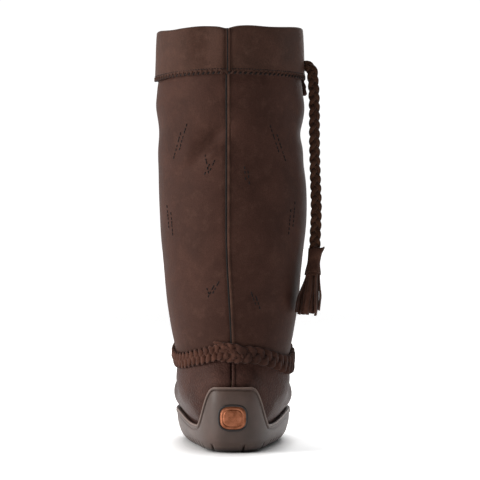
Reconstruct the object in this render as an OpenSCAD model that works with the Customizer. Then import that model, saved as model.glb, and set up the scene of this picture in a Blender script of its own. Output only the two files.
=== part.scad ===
// Tall moccasin boot for the right foot: leather foot and shaft, fleece lining, rubber cup sole,
// braided ankle band and a braided tie cord with a tassel.
// +Z is up, the toe points to -Y, the medial side is +X. The ground is at z = 0.

/* [Overall] */
// Height of the boot, ground to rim
boot_h = 390; // [360:1:420]
// Length of the sole
sole_l = 280; // [265:1:295]
// Thickness of the upper leather
leather_t = 1.8; // [1.6:0.1:2]

/* [Shaft] */
// Width of the shaft at the calf
calf_w = 139; // [132:1:146]
// Depth of the shaft at the calf, front to back
calf_d = 132; // [126:1:138]
// Width of the shaft at the rim
rim_w = 133; // [128:1:138]
// Depth of the shaft at the rim
rim_d = 130; // [126:1:134]
// Width at the ankle seam
ankle_w = 106; // [102:1:110]
// Depth at the ankle seam
ankle_d = 114; // [110:1:118]
// Height of the widest part of the calf
calf_z = 235; // [220:1:250]
// Thickness of the shaft's fleece lining
shaft_fleece_t = 5.5; // [4:0.5:7]

/* [Cuff] */
// Height of the cuff band
cuff_h = 44; // [38:1:50]
// Room between cuff and shaft for the drawstring
casing_gap = 1.4; // [1.3:0.1:1.6]
// Width of the drawstring band
drawstring_w = 7; // [5:1:9]

/* [Foot] */
// Thickness of the foot's fleece lining
foot_fleece_t = 4.4; // [3:0.2:5]
// Height of the apron seam at the toe
toe_seam_z = 52; // [48:1:56]
// Rise of the apron above its seam
apron_crown = 9; // [6:1:12]

/* [Sole] */
// Half width of the sole at the heel
heel_hw = 43.5; // [41:0.5:46]
// Half width of the sole at the ball
ball_hw = 56.5; // [54:0.5:59]
// Thickness of the cup's side wall
wall_t = 4; // [3.5:0.1:4]
// Depth of the tread lugs
lug_h = 4.5; // [4:0.5:5]
// Height of the heel cup
heel_cup_z = 60; // [54:1:64]
// Height of the side wall at the waist
waist_z = 24; // [23:1:26]
// Height of the side wall at the ball
ball_z = 29; // [28:1:32]

/* [Braid and tie] */
// Height of the ankle braid
braid_h = 18; // [14:1:20]
// Thickness of the ankle braid
braid_t = 5.6; // [4:0.2:7]
// Diameter of the tie cord
tie_d = 10; // [8:0.5:10]
// Length of the tassel
tassel_l = 60; // [50:1:66]

/* [Hidden] */

MEDIAL = 1;
LATERAL = -1;
half_l = sole_l / 2;
gap = 0.25;                      // clearance between neighbouring pieces

// Layers of the foot, counted inwards from the leather's outer face
cup_inset = wall_t + 0.3;        // leather's outer face inside the sole's outline
stiffener_in = leather_t + 0.15;
stiffener_t = 1.1;
foot_fleece_in = stiffener_in + stiffener_t + 0.15;
foot_wall = foot_fleece_in + foot_fleece_t;
footbed_inset = cup_inset + foot_wall + 1.2; // room to lift the footbed past the lining

// Heights inside the sole
cup_floor_z = 9.5;
board_z = 20;
board_t = 2;
footbed_z = board_z + board_t + 0.4;
footbed_t = 5;
footbed_fleece_t = 4;

// Sideways lean of the boot: axis of the sole, of the ankle and of the rim
sole_x = -1.5;
ankle_x = -1.3;
rim_x = 1.6;
toe_x = 3;

// Back of the shaft at the ankle, the calf and the rim
ankle_back_y = 125;
calf_back_y = 131;
rim_back_y = 136;

// Height of the ankle seam: its mean, its front-to-back tilt and its dip at the sides
ankle_mean_z = 87.75;
ankle_tilt_z = -3.5;
ankle_dip_z = 6.75;

// Place of the back seam at the rim and at the ankle
rim_seam_x = 2.6;
ankle_seam_x = -1.6;
welt_half = 2.2;                 // half angle that a shaft seam's welt takes, in degrees

shaft_top = boot_h - 1.5;
cuff_z = boot_h - cuff_h;
cuff_in = -casing_gap;           // inner face of the cuff, counted inwards from the shaft's face
cuff_out = cuff_in - leather_t;

// Share of the way round the sole, heel 0 to toe 1, at the side seam corner and the heel cup's ends
corner_v = 0.44;
heel_cup_top_v = 0.075;          // where the heel cup starts to slope down
heel_cup_v = 0.222;              // where it meets the low side wall

// ---------------------------------------------------------------- helpers
function clamp01(x) = min(1, max(0, x));
function smooth(a, b, x) = let (t = clamp01((x - a) / (b - a))) t * t * (3 - 2 * t);
function mix(a, b, t) = a + (b - a) * t;
function unit(p) = p / norm(p);
function steps(n) = [for (i = [0:n]) i / n];
function flat(rows) = [for (r = rows) each r];

// Six times the signed volume of a triangle mesh
function mesh_sign(p, f) = [for (t = f) cross(p[t[0]], p[t[1]]) * p[t[2]]] * [for (t = f) 1];

// Two triangles for each cell of a grid with m columns, starting at point number o
function cells(n, m, o, rows, cols, side) = [
    for (i = [0:rows - 1], j = [0:cols - 1])
        let (
            a = o + i * m + j,
            b = o + i * m + (j + 1) % m,
            c = o + ((i + 1) % n) * m + (j + 1) % m,
            d = o + ((i + 1) % n) * m + j
        )
        each (side > 0 ? [[a, b, c], [a, c, d]] : [[a, c, b], [a, d, c]])
];

// A ribbon of triangles between two chains of point numbers
function ribbon(p, q) = [
    for (i = [0:len(p) - 2]) each [[p[i], q[i + 1], p[i + 1]], [p[i], q[i], q[i + 1]]]
];

// Polyhedron with its faces turned outwards whatever way the points run
module outward(points, faces) {
    turned = mesh_sign(points, faces) > 0 ? [for (f = faces) [f[0], f[2], f[1]]] : faces;
    polyhedron(points, turned);
}

// Closed skin between an outer and an inner grid; ring closes it round its rows
module skin(outer, inner, ring = false) {
    n = len(outer);
    m = len(outer[0]);
    rows = ring ? n : n - 1;
    shift = n * m;
    low = [for (i = [0:rows]) (i % n) * m];
    high = [for (k = low) k + m - 1];
    first = [for (j = [0:m - 1]) j];
    last = [for (k = first) k + (n - 1) * m];
    ends = ring ? [] : concat(
        ribbon(first, [for (k = first) k + shift]),
        ribbon([for (k = last) k + shift], last)
    );
    faces = concat(
        cells(n, m, 0, rows, m - 1, 1),
        cells(n, m, shift, rows, m - 1, -1),
        ribbon([for (k = low) k + shift], low),
        ribbon(high, [for (k = high) k + shift]),
        ends
    );
    outward(concat(flat(outer), flat(inner)), faces);
}

// Tube through rings of equal point count; ring closes it on itself
module tube(rings, ring = false) {
    n = len(rings);
    m = len(rings[0]);
    rows = ring ? n : n - 1;
    caps = ring ? [] : concat(
        [for (j = [1:m - 2]) [0, j, j + 1]],
        [for (j = [1:m - 2]) [(n - 1) * m, (n - 1) * m + j + 1, (n - 1) * m + j]]
    );
    outward(flat(rings), concat(caps, cells(n, m, 0, rows, m, -1)));
}

// ---------------------------------------------------------------- shaft
// Half width, half depth and centre of the shaft's outer face at height z
function calf_share(z) = z < calf_z
    ? pow((calf_z - z) / (calf_z - ankle_mean_z), 2)
    : pow((z - calf_z) / (boot_h - calf_z), 2);
function shaft_a(z) = mix(calf_w, z < calf_z ? ankle_w : rim_w, calf_share(z)) / 2;
function shaft_b(z) = mix(calf_d, z < calf_z ? ankle_d : rim_d, calf_share(z)) / 2;
function shaft_x(z) = mix(ankle_x, rim_x, smooth(200, 300, z));
function shaft_y(z) = mix(calf_back_y, z < calf_z ? ankle_back_y : rim_back_y, calf_share(z)) - shaft_b(z);

// Point of the shaft at angle q from the back (90 medial, 180 front), the given depth inside its face
function shaft_at(q, z, depth) = [
    shaft_x(z) + (shaft_a(z) - depth) * sin(q),
    shaft_y(z) + (shaft_b(z) - depth) * cos(q),
    z
];
function ankle_z(q) = ankle_mean_z + ankle_tilt_z * cos(q) + ankle_dip_z * cos(2 * q);

// Angle of the back seam, which drifts across the back from rim to ankle
function seam_x(z) = mix(ankle_seam_x, rim_seam_x, smooth(90, 200, z));
function back_q(z) = asin((seam_x(z) - shaft_x(z)) / shaft_a(z));

// Grid over one side of the shaft, from the back seam to the front one, each edge clear of it by edge_q
// degrees. It starts at height z0, or at the ankle seam where z0 is 0.
columns = 16;
function shaft_grid(side, z0, z1, depth, edge_q, rows) = [
    for (i = steps(columns)) [
        for (j = steps(rows))
            let (
                seam_z = mix(z0 > 0 ? z0 : ankle_z(0), z1, j),
                q = mix(back_q(seam_z) + side * edge_q, side * (180 - edge_q), i),
                low_z = z0 > 0 ? z0 : ankle_z(q) + gap
            )
            shaft_at(q, mix(low_z, z1, j), depth)
    ]
];

shaft_rows = 12;
module shaft_panel(side) {
    skin(
        shaft_grid(side, 0, shaft_top, 0, welt_half, shaft_rows),
        shaft_grid(side, 0, shaft_top, leather_t, welt_half, shaft_rows)
    );
}
module shaft_medial() { color("#4a362e") shaft_panel(MEDIAL); }
module shaft_lateral() { color("#46332c") shaft_panel(LATERAL); }

module shaft_lining() {
    depth = leather_t + gap;
    round_grid = function (d)
        let (
            medial = shaft_grid(MEDIAL, 0, shaft_top, d, welt_half, shaft_rows),
            lateral = shaft_grid(LATERAL, 0, shaft_top, d, welt_half, shaft_rows)
        )
        concat(medial, [for (i = [columns:-1:0]) lateral[i]]);
    color("#6b5445") skin(round_grid(depth), round_grid(depth + shaft_fleece_t), ring = true);
}

// Strip of square section along a seam, proud of the leather by lift
function welt_ring(q, z, half, lift) = [
    for (c = [[-half, -leather_t], [half, -leather_t], [half, lift], [-half, lift]])
        shaft_at(q + c[0], z, -c[1])
];
module seam_strip(front, lift) {
    strip_half = welt_half - 0.3;
    levels = [for (t = steps(14)) mix(ankle_z(front ? 180 : 0) + gap, cuff_z - 0.5, t)];
    tube([for (z = levels) welt_ring(front ? 180 : back_q(z), z, strip_half, lift)]);
}
module back_welt() { color("#3c2a24") seam_strip(false, 0.7); }
module front_welt() { color("#3c2a24") seam_strip(true, 0.7); }

// ---------------------------------------------------------------- cuff, drawstring and thong
tie_y = 78;                      // where the tie cord comes out of the cuff
tie_z = 358;
tie_hole_r = tie_d / 2 + 0.6;

cuff_edge_q = 0.15;              // half gap between the cuff's two halves, in degrees

module cuff_panel(side) {
    skin(
        shaft_grid(side, cuff_z, boot_h, cuff_out, cuff_edge_q, 2),
        shaft_grid(side, cuff_z, boot_h, cuff_in, cuff_edge_q, 2)
    );
}
module cuff_medial() { color("#544037") cuff_panel(MEDIAL); }
module cuff_lateral() {
    color("#4e3b33") difference() {
        cuff_panel(LATERAL);
        translate([-rim_w / 2, tie_y, tie_z]) rotate([0, 90, 0])
            cylinder(r = tie_hole_r, h = 20, center = true, $fn = 48);
    }
}

// Flat band round the shaft inside the cuff's casing, cut away at the tie's hole
module drawstring() {
    clearance = 0.45;
    hole_q = -80;
    clear_q = 10;
    first_q = hole_q - clear_q;
    grid = function (depth) [
        for (i = steps(36)) [
            for (j = [-0.5, 0.5])
                shaft_at(first_q - i * (360 - 2 * clear_q), tie_z + j * drawstring_w, depth)
        ]
    ];
    color("#5a4034") skin(grid(clearance - casing_gap), grid(-clearance));
}

// Short thong through the shaft under the cuff, knotted over itself, behind the tie cord
module side_thong() {
    thong_r = 2;
    thong_q = -96;
    levels = [344, 343, 342, 339, 336, 333];
    bulges = [1.2, 1.6, 2.3, 2.9, 3, 2];
    path = [for (i = [0:5]) shaft_at(thong_q - 1.5 * sin(120 * i), levels[i], -bulges[i] - 0.6)];
    color("#35241d") tube(sweep(path, thong_r, 8, [0, 1, 0]));
}

// Rings of a round tube along a path; r is its radius, or a list of them, and ref is never along the path
function sweep(path, r, sides, ref) = [
    for (i = [0:len(path) - 1])
        let (
            along = unit(path[min(i + 1, len(path) - 1)] - path[max(i - 1, 0)]),
            a = unit(cross(along, ref)),
            b = cross(a, along)
        )
        [
            for (k = [0:sides - 1])
                path[i] + (is_list(r) ? r[i] : r) * (cos(360 * k / sides) * a + sin(360 * k / sides) * b)
        ]
];

// ---------------------------------------------------------------- sole
// Outline of the sole: v runs from heel 0 to toe 1 on either side, inset counts inwards
function ring_share(v) = pow(max(0, sin(180 * v)), 0.6);
function sole_hw(v) = mix(heel_hw, ball_hw, smooth(0.2, 0.62, v));
function sole_axis(v) = mix(sole_x, toe_x, smooth(0.5, 1, v));
function outline(v, side, inset) = [
    sole_axis(v) + side * (sole_hw(v) - inset) * ring_share(v),
    (half_l - inset) * cos(180 * v)
];
function outwards(v, side) = unit([side * ring_share(v), cos(180 * v), 0]);
function lift(p, z) = [p[0], p[1], z];

// Stations round the sole: heel, medial side, toe, lateral side
function around(n) = [for (k = [0:2 * n - 1]) k <= n ? [k / n, MEDIAL] : [(2 * n - k) / n, LATERAL]];
module sole_shape(inset, n = 32) {
    polygon([for (a = around(n)) outline(a[0], a[1], inset)]);
}

// Height of the cup's side wall
function wall_z(v) = mix(heel_cup_z, waist_z, pow(smooth(heel_cup_top_v, heel_cup_v, v), 1.15))
    + (ball_z - waist_z) * smooth(0.38, 0.62, v) + 2 * smooth(0.7, 1, v);

// Cross section of the cup from the underside, over the wall, to the cup's floor;
// the wall slants in more toward the ground from the waist forward
function slant(v) = smooth(0.12, 0.35, v);
function cup_section(v) = [
    [7 + 3 * slant(v), lug_h], [3 + 1.3 * slant(v), lug_h + 3], [0.7 + 1.3 * slant(v), 12],
    [0.5 * slant(v), 18], [0, wall_z(v) - 1], [0.9, wall_z(v)],
    [wall_t - 0.4, wall_z(v)], [wall_t, wall_z(v) - 0.6], [wall_t, cup_floor_z]
];
module cup() {
    stations = around(30);
    n = len(stations);
    rings = [for (a = stations) [for (c = cup_section(a[0])) lift(outline(a[0], a[1], c[0]), c[1])]];
    m = len(rings[0]);
    under = n * m;
    floor_top = under + 1;
    fans = [
        for (i = [0:n - 1])
            let (a = i * m, b = ((i + 1) % n) * m)
            each [[a, b, under], [b + m - 1, a + m - 1, floor_top]]
    ];
    points = concat(flat(rings), [[0, 0, lug_h], [0, 0, cup_floor_z]]);
    outward(points, concat(cells(n, m, 0, n, m - 1, 1), fans));
}

// Tread: bars across the heel and the forefoot, with a groove between their halves
module tread() {
    bar_w = 13;
    groove = 5;
    bars = [-118, -98, -78, -58, -38, 52, 72, 92, 112];
    linear_extrude(height = lug_h + 1) difference() {
        intersection() {
            sole_shape(8.5);
            union() for (y = bars) translate([-70, y - bar_w / 2]) square([140, bar_w]);
        }
        translate([-groove / 2, -half_l]) square([groove, sole_l]);
    }
}
module outsole() {
    color("#5f544d") union() {
        cup();
        tread();
    }
}

badge_w = 28;
badge_h = 25;
badge_z = 32.5;
module badge_band(low, high) {
    rows = [for (i = [-6:6]) i / 6 * 0.09];
    levels = [badge_z - 16, badge_z + 16];
    grid = function (out) [
        for (r = rows) [for (z = levels) lift(outline(abs(r), r < 0 ? LATERAL : MEDIAL, -out), z)]
    ];
    skin(grid(high), grid(low));
}
module badge_outline(w, h, r) {
    union() {
        square([w - 2 * r, h], center = true);
        square([w, h - 2 * r], center = true);
        for (x = [-1, 1], y = [-1, 1])
            translate([x * (w / 2 - r), y * (h / 2 - r)]) circle(r = r, $fn = 48);
    }
}
module badge_place() {
    translate([sole_x, half_l + 5, badge_z]) rotate([90, 0, 0]) linear_extrude(height = 30) children();
}
module heel_badge() {
    color("#b8743f") intersection() {
        badge_band(gap, 1);
        badge_place() badge_outline(badge_w - 4, badge_h - 4, 7);
    }
}
module heel_badge_rim() {
    color("#2b211d") intersection() {
        badge_band(gap, 1.3);
        badge_place() difference() {
            badge_outline(badge_w, badge_h, 8.6);
            badge_outline(badge_w - 3.4, badge_h - 3.4, 7.3);
        }
    }
}

module midsole() {
    color("#8a7d6c") translate([0, 0, cup_floor_z + 0.1])
        linear_extrude(height = board_z - cup_floor_z - 0.2) sole_shape(wall_t + gap);
}
module insole_board() {
    color("#b9a98c") translate([0, 0, board_z])
        linear_extrude(height = board_t) sole_shape(cup_inset + leather_t + 2 * gap);
}
module footbed() {
    color("#7d8287") translate([0, 0, footbed_z])
        linear_extrude(height = footbed_t) sole_shape(footbed_inset);
}
module footbed_fleece() {
    color("#c9b79a") translate([0, 0, footbed_z + footbed_t])
        linear_extrude(height = footbed_fleece_t) sole_shape(footbed_inset + 0.3);
}

// ---------------------------------------------------------------- foot
corner_q = 140;                  // angle on the ankle seam where apron, quarter and shaft meet
seam_v = 0.002;                  // start of a quarter beside the lower back seam
toe_seam_y = -half_l + 32;

function quarter_q(v) = v <= 0 ? 0 : mix(welt_half, corner_q, (v - seam_v) / (corner_v - seam_v));

// Top edge of the foot's side: the ankle seam at the back, the apron seam in front
function apron_edge(v, side, depth) =
    let (
        t = (v - corner_v) / (1 - corner_v),
        q = side * corner_q,
        corner = shaft_at(q, ankle_z(q) - gap, 0),
        axis_x = mix(shaft_x(ankle_mean_z), toe_x, t),
        reach = sin(90 * t),
        p = [
            axis_x + (corner[0] - shaft_x(ankle_mean_z)) * pow(cos(90 * t), 0.55),
            mix(corner[1], toe_seam_y, reach),
            mix(toe_seam_z, corner[2], pow(1 - reach, 1.25))
        ],
        level = mix([sin(q), cos(q), 0], outwards(v, side), smooth(0, 0.3, t)),
        rise = 0.85 * smooth(0, 0.3, t)
    )
    p - depth * unit(level * (1 - rise) + [0, 0, rise]);
function top_edge(v, side, depth) = v > corner_v
    ? apron_edge(v, side, depth)
    : shaft_at(side * quarter_q(v), ankle_z(quarter_q(v)) - gap, depth);

// Point of the foot's side: r is 0 at the board, 1 at the cup's edge and 2 at the top edge
function foot_at(v, side, r, depth, low_z = board_z) =
    let (
        base = outline(v, side, cup_inset + depth),
        edge = lift(base, wall_z(v) + 0.6),
        top = top_edge(v, side, depth),
        front = smooth(corner_v - 0.06, corner_v + 0.2, v),
        push = 2 + 15 * pow(sin(180 * v), 1.5),
        c1 = edge + push * outwards(v, side) + [0, 0, 2 + 0.3 * (top[2] - edge[2])],
        full = 9 * smooth(0.08, 0.28, v),
        rear = full * outwards(v, side) - [0, 0, 0.45 * (top[2] - edge[2])],
        c2 = top + mix(rear, 18 * outwards(v, side) + [0, 0, -1], front),
        s = max(0, r - 1),
        u = 1 - s
    )
    r < 1 ? mix(lift(base, low_z), edge, r)
        : u * u * u * edge + 3 * u * u * s * c1 + 3 * u * s * s * c2 + s * s * s * top;

// Stations along one side, with a row of them exactly at the corner
rear_stations = [for (t = steps(10)) mix(seam_v, corner_v, t)];
front_stations = [for (i = [1:12]) mix(corner_v, 1, i / 12)];
side_rows = concat([0, 1], [for (i = [1:7]) 1 + i / 7]);

// Stations from the back seam round the toe and back to the seam
wrap_stations = concat(
    [for (v = concat(rear_stations, front_stations)) [v, MEDIAL]],
    [for (i = [11:-1:1]) [front_stations[i - 1], LATERAL]],
    [for (i = [10:-1:0]) [rear_stations[i], LATERAL]]
);
function foot_grid(stations, rows, depth, low_z = board_z) = [
    for (a = stations) [for (r = rows) foot_at(a[0], a[1], r, depth, low_z)]
];

// One piece of leather wraps the whole foot and closes at the back seam
module foot_wrap() {
    color("#553a2d") skin(
        foot_grid(wrap_stations, side_rows, 0),
        foot_grid(wrap_stations, side_rows, leather_t)
    );
}
module heel_welt() {
    half = 1.3;
    rows = [for (t = steps(6)) mix(1.02, 1.97, t)];
    rings = [
        for (r = rows) [
            for (c = [[-half, leather_t], [half, leather_t], [half, -0.9], [-half, -0.9]])
                foot_at(0, MEDIAL, r, c[1]) + [c[0], 0, 0]
        ]
    ];
    color("#3c2a24") tube(rings);
}

inner_z = board_z + board_t + gap;
module foot_lining() {
    color("#6b5445") skin(
        foot_grid(wrap_stations, side_rows, foot_fleece_in, inner_z),
        foot_grid(wrap_stations, side_rows, foot_wall, inner_z),
        ring = true
    );
}
module stiffener(stations, rows) {
    skin(
        foot_grid(stations, rows, stiffener_in, inner_z),
        foot_grid(stations, rows, stiffener_in + stiffener_t, inner_z)
    );
}
stiff = 4;                       // stations that a stiffener takes on each side of the boot's middle
module heel_counter() {
    side = [for (i = [0:stiff]) rear_stations[i]];
    stations = concat([for (i = [stiff:-1:0]) [side[i], MEDIAL]], [for (v = side) [v, LATERAL]]);
    color("#a58c6a") stiffener(stations, [for (i = [0:2]) side_rows[i]]);
}
module toe_puff() {
    middle = len(rear_stations) + len(front_stations) - 1;
    stations = [for (i = [middle - stiff:middle + stiff]) wrap_stations[i]];
    color("#a58c6a") stiffener(stations, [for (i = [0:6]) side_rows[i]]);
}

// Apron: a patch stretched between the ankle seam, its two sides and the toe.
// c runs across it from lateral -1 to medial 1, and t from ankle 0 to toe 1.
apron_rows = 11;
toe_v = front_stations[apron_rows - 1];
seam_gap = 0.75;                 // room between the apron's edge and the wrap's
function inside_seam(v, side, depth) = top_edge(v, side, depth) - seam_gap * outwards(v, side);
function apron_at(t, c, depth) =
    let (
        v = mix(corner_v, toe_v, t),
        left = inside_seam(v, LATERAL, depth),
        right = inside_seam(v, MEDIAL, depth),
        across = (c + 1) / 2,
        q = 180 - c * (180 - corner_q),
        ankle = shaft_at(q, ankle_z(q) - gap, depth) - [0.6 * sin(q), 0.6 * cos(q), 0],
        toe_side = inside_seam(toe_v, c < 0 ? LATERAL : MEDIAL, depth),
        toe = mix(inside_seam(1, MEDIAL, depth), toe_side, abs(c)),
        ankle_left = inside_seam(corner_v, LATERAL, depth),
        ankle_chord = mix(ankle_left, inside_seam(corner_v, MEDIAL, depth), across),
        toe_chord = mix(inside_seam(toe_v, LATERAL, depth), inside_seam(toe_v, MEDIAL, depth), across),
        crown = apron_crown * (1 - c * c) * 4 * t * (1 - t)
    )
    mix(left, right, across) + (1 - t) * (ankle - ankle_chord) + t * (toe - toe_chord) + [0, 0, crown];
function apron_grid(depth) = [
    for (t = steps(apron_rows - 1)) [for (c = [-4:4]) apron_at(t, c / 4, depth)]
];
module apron() { color("#5a3d2f") skin(apron_grid(0), apron_grid(leather_t)); }
module apron_lining() {
    color("#6b5445") skin(apron_grid(foot_fleece_in), apron_grid(foot_wall));
}

// Rolled seam cord over the joint between apron and wrap
module apron_cord() {
    cord_r = 1.6;
    path = concat(
        [for (i = [0:12]) top_edge(mix(corner_v + 0.03, 1, i / 12), MEDIAL, -cord_r - 0.4)],
        [for (i = [11:-1:0]) top_edge(mix(corner_v + 0.03, 1, i / 12), LATERAL, -cord_r - 0.4)]
    );
    color("#3c2a24") tube(sweep(path, cord_r, 8, [0, 0, 1]));
}

// ---------------------------------------------------------------- ankle braid
// Middle line of the braid: on the ankle seam at the back, above it in front
function braid_z(q) = ankle_z(q) + 9.5 * smooth(50, 130, abs(q));
function braid_point(q, a, scale = 1, extra = 0) =
    let (
        dz = scale * braid_h / 2 * sin(a),
        below = max(0, -dz) * mix(0.3, 0.05, smooth(20, 80, abs(q))),
        out = 0.9 + extra + braid_t / 2 * (1 + scale * cos(a)) + below
    )
    lift(shaft_at(q, max(braid_z(q) + dz, ankle_z(q)), -out), braid_z(q) + dz);
module ankle_braid() {
    color("#4e3226") tube(
        [for (i = [0:39]) [for (k = [0:9]) braid_point(i < 20 ? i * 9 : i * 9 - 360, 36 * k)]],
        ring = true
    );
}

// Loose end of the braid, laid over the join at the back
module braid_tail() {
    color("#4a2f24") tube([
        for (i = [0:6])
            [for (k = [0:7]) braid_point(-6 + 4 * i, 45 * k, 0.38, braid_t + 0.3) + [0, 0, 5 - 0.6 * i]]
    ]);
}

// ---------------------------------------------------------------- tie cord and tassel
// Route of the tie cord, from the shaft's face through the cuff's hole and down to the tassel
tie_path = [
    [-71.5, 78, 358], [-73, 78, 357.6], [-75, 78, 355], [-76, 78.3, 351], [-76.3, 78.7, 346],
    [-76.9, 79, 340], [-77.3, 79.5, 332], [-77.6, 80, 322], [-77.7, 80.5, 310], [-77.7, 81, 296],
    [-77.8, 81.5, 282], [-78.1, 82, 268], [-78.5, 82.6, 254], [-79, 83.2, 240], [-79.3, 83.8, 226],
    [-79, 84.4, 212], [-78.4, 85, 200], [-78, 85.4, 192]
];
top_bend = 4;                    // number of route points on the part that stays at the cuff

module tie_tube(points, r = tie_d / 2) { tube(sweep(points, r, 10, [0, 1, 0])); }
module tie_cord_top() {
    start = [[-68.6, 78, 358], [-70, 78, 358]];
    color("#4e3226") tie_tube(concat(start, [for (i = [0:top_bend - 1]) tie_path[i]]));
}

// The hanging part has a dome at each end, round the points that it and the tassel swing about
tie_end = tie_path[len(tie_path) - 1];
module tie_cord() {
    hanging = [for (i = [top_bend:len(tie_path) - 1]) tie_path[i]];
    tilts = [75, 50, 25];
    r = tie_d / 2;
    top_dome = [for (a = tilts) hanging[0] + [0, 0, r * sin(a)]];
    end_dome = [for (i = [2:-1:0]) tie_end - [0, 0, r * sin(tilts[i])]];
    radii = concat(
        [for (a = tilts) r * cos(a)],
        [for (p = hanging) r],
        [for (i = [2:-1:0]) r * cos(tilts[i])]
    );
    color("#4e3226") tie_tube(concat(top_dome, hanging, end_dome), radii);
}

tassel_top = tie_end - [0, 0, tie_d / 2 + 0.4];
head_l = 20;
module tassel_head() {
    levels = [[0, 6.3], [6, 7], [14, 7.6], [head_l, 8.4]];
    color("#5b3a2a") tube([
        for (l = levels)
            [for (k = [0:11]) tassel_top + [l[1] * cos(30 * k) + 0.04 * l[0], l[1] * sin(30 * k), -l[0]]]
    ]);
}
module tassel_fringe() {
    levels = [[head_l + 0.3, 8.6], [head_l + 12, 10], [tassel_l - 8, 12.6], [tassel_l, 13]];
    color("#5b3a2a") tube([
        for (l = levels)
            let (drop = l[0] - head_l)
            [for (a = [0:30:330]) tassel_top + [l[1] * cos(a) + 0.8, l[1] * sin(a) + 0.06 * drop, -l[0]]]
    ]);
}

outsole();
heel_badge();
heel_badge_rim();
midsole();
insole_board();
heel_counter();
toe_puff();
foot_wrap();
heel_welt();
apron();
apron_cord();
foot_lining();
apron_lining();
shaft_medial();
shaft_lateral();
back_welt();
front_welt();
shaft_lining();
cuff_medial();
cuff_lateral();
drawstring();
side_thong();
ankle_braid();
braid_tail();
footbed();
footbed_fleece();
tie_cord_top();
tie_cord();
tassel_head();
tassel_fringe();
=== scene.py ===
"""Tall moccasin boot, seen from behind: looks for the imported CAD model, in metres and in the CAD's frame."""
import math

import bpy
import numpy as np
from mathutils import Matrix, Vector, noise


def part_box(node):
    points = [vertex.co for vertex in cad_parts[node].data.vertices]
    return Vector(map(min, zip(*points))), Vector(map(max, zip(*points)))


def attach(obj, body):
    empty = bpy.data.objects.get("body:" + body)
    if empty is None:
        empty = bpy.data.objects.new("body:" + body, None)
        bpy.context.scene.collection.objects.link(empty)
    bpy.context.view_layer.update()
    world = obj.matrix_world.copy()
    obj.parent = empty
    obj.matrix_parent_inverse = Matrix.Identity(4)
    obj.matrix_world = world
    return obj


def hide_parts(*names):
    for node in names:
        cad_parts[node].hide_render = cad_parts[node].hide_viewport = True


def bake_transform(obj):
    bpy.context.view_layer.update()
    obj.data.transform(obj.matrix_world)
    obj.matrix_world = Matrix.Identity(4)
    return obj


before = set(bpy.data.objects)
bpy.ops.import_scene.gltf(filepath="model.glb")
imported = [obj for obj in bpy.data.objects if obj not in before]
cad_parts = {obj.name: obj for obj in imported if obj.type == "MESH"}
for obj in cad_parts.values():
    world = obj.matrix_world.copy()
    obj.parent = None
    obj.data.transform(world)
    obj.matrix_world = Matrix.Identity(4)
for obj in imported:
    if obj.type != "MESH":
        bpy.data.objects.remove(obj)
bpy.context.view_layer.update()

MM = 0.001
MEDIAL, LATERAL = 1, -1
SIDES = {"medial": MEDIAL, "lateral": LATERAL}
UP = np.array([0, 0, 1.0])

# ------------------------------------------------------------------ driving sizes, from the frame
SHAFT_LOW, SHAFT_TOP = [p[2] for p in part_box("shaft_medial")]
RIM_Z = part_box("cuff_medial")[1][2]
HEM_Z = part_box("cuff_medial")[0][2]
SOLE_LOW, SOLE_HIGH = [Vector(p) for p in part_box("outsole")]
HALF_L = (SOLE_HIGH.y - SOLE_LOW.y) / 2
HEEL_CUP_Z = SOLE_HIGH.z
BOARD_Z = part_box("insole_board")[0][2]
BADGE_LOW, BADGE_HIGH = [Vector(p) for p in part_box("heel_badge_rim")]

LEATHER = 1.8 * MM
CALF_Z = 0.235
ANKLE_MEAN_Z, ANKLE_TILT, ANKLE_DIP = 87.75 * MM, -3.5 * MM, 6.75 * MM
SHAFT_HALF_W = {"calf": 69.5 * MM, "ankle": 53 * MM, "rim": 66.5 * MM}
SHAFT_HALF_D = {"calf": 66 * MM, "ankle": 57 * MM, "rim": 65 * MM}
SHAFT_BACK = {"calf": 131 * MM, "ankle": 125 * MM, "rim": 136 * MM}
ANKLE_X, SHAFT_RIM_X = -1.3 * MM, 1.6 * MM
SEAM_ANKLE_X, SEAM_RIM_X = -1.6 * MM, 2.6 * MM
SOLE_X, TOE_X = -1.5 * MM, 3 * MM
HEEL_HW, BALL_HW = 43.5 * MM, 56.5 * MM
WALL_T, CUP_FLOOR_Z = 4 * MM, 9.5 * MM
WAIST_Z, BALL_Z = 23.5 * MM, 31 * MM
CUP_INSET = WALL_T + 0.3 * MM
CORNER_V, CORNER_Q, SEAM_V = 0.44, 140.0, 0.002
WELT_Q, SEAM_GAP_Q = 2.2, 0.35
TOE_SEAM_Z, TOE_SEAM_Y, APRON_CROWN = 52 * MM, -HALF_L + 32 * MM, 9 * MM
CUFF_OUT, CUFF_R = 3.2 * MM, 68.5 * MM
STITCH_PITCH, TOOTH_PITCH, TOOTH_H = 2.55 * MM, 4.7 * MM, 2.8 * MM
BAND_Z, THONG_Q = 0.358, -95.5


# ------------------------------------------------------------------ camera
# Level, straight at the boot's back, from about 2.2 m behind the heel.
VIEW_D = 2.2
VIEW_SPAN = 0.438                # height of the frame at the heel
camera_data = bpy.data.cameras.new("camera")
camera = bpy.data.objects.new("camera", camera_data)
bpy.context.collection.objects.link(camera)
camera.location = (-7.95 * MM, HALF_L + VIEW_D, RIM_Z / 2)
camera.rotation_euler = (math.radians(90), 0, math.radians(180))
camera_data.sensor_width = 36
camera_data.lens = 36 * VIEW_D / VIEW_SPAN
camera_data.clip_end = 50
bpy.context.scene.camera = camera


# ------------------------------------------------------------------ numbers
def mix(a, b, t):
    return a + (b - a) * t


def smooth(a, b, x):
    t = np.clip((x - a) / (b - a), 0, 1)
    return t * t * (3 - 2 * t)


def sin_d(a):
    return np.sin(np.radians(a))


def cos_d(a):
    return np.cos(np.radians(a))


def bell(x, width):
    return np.exp(-((x / width) ** 2))


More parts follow.
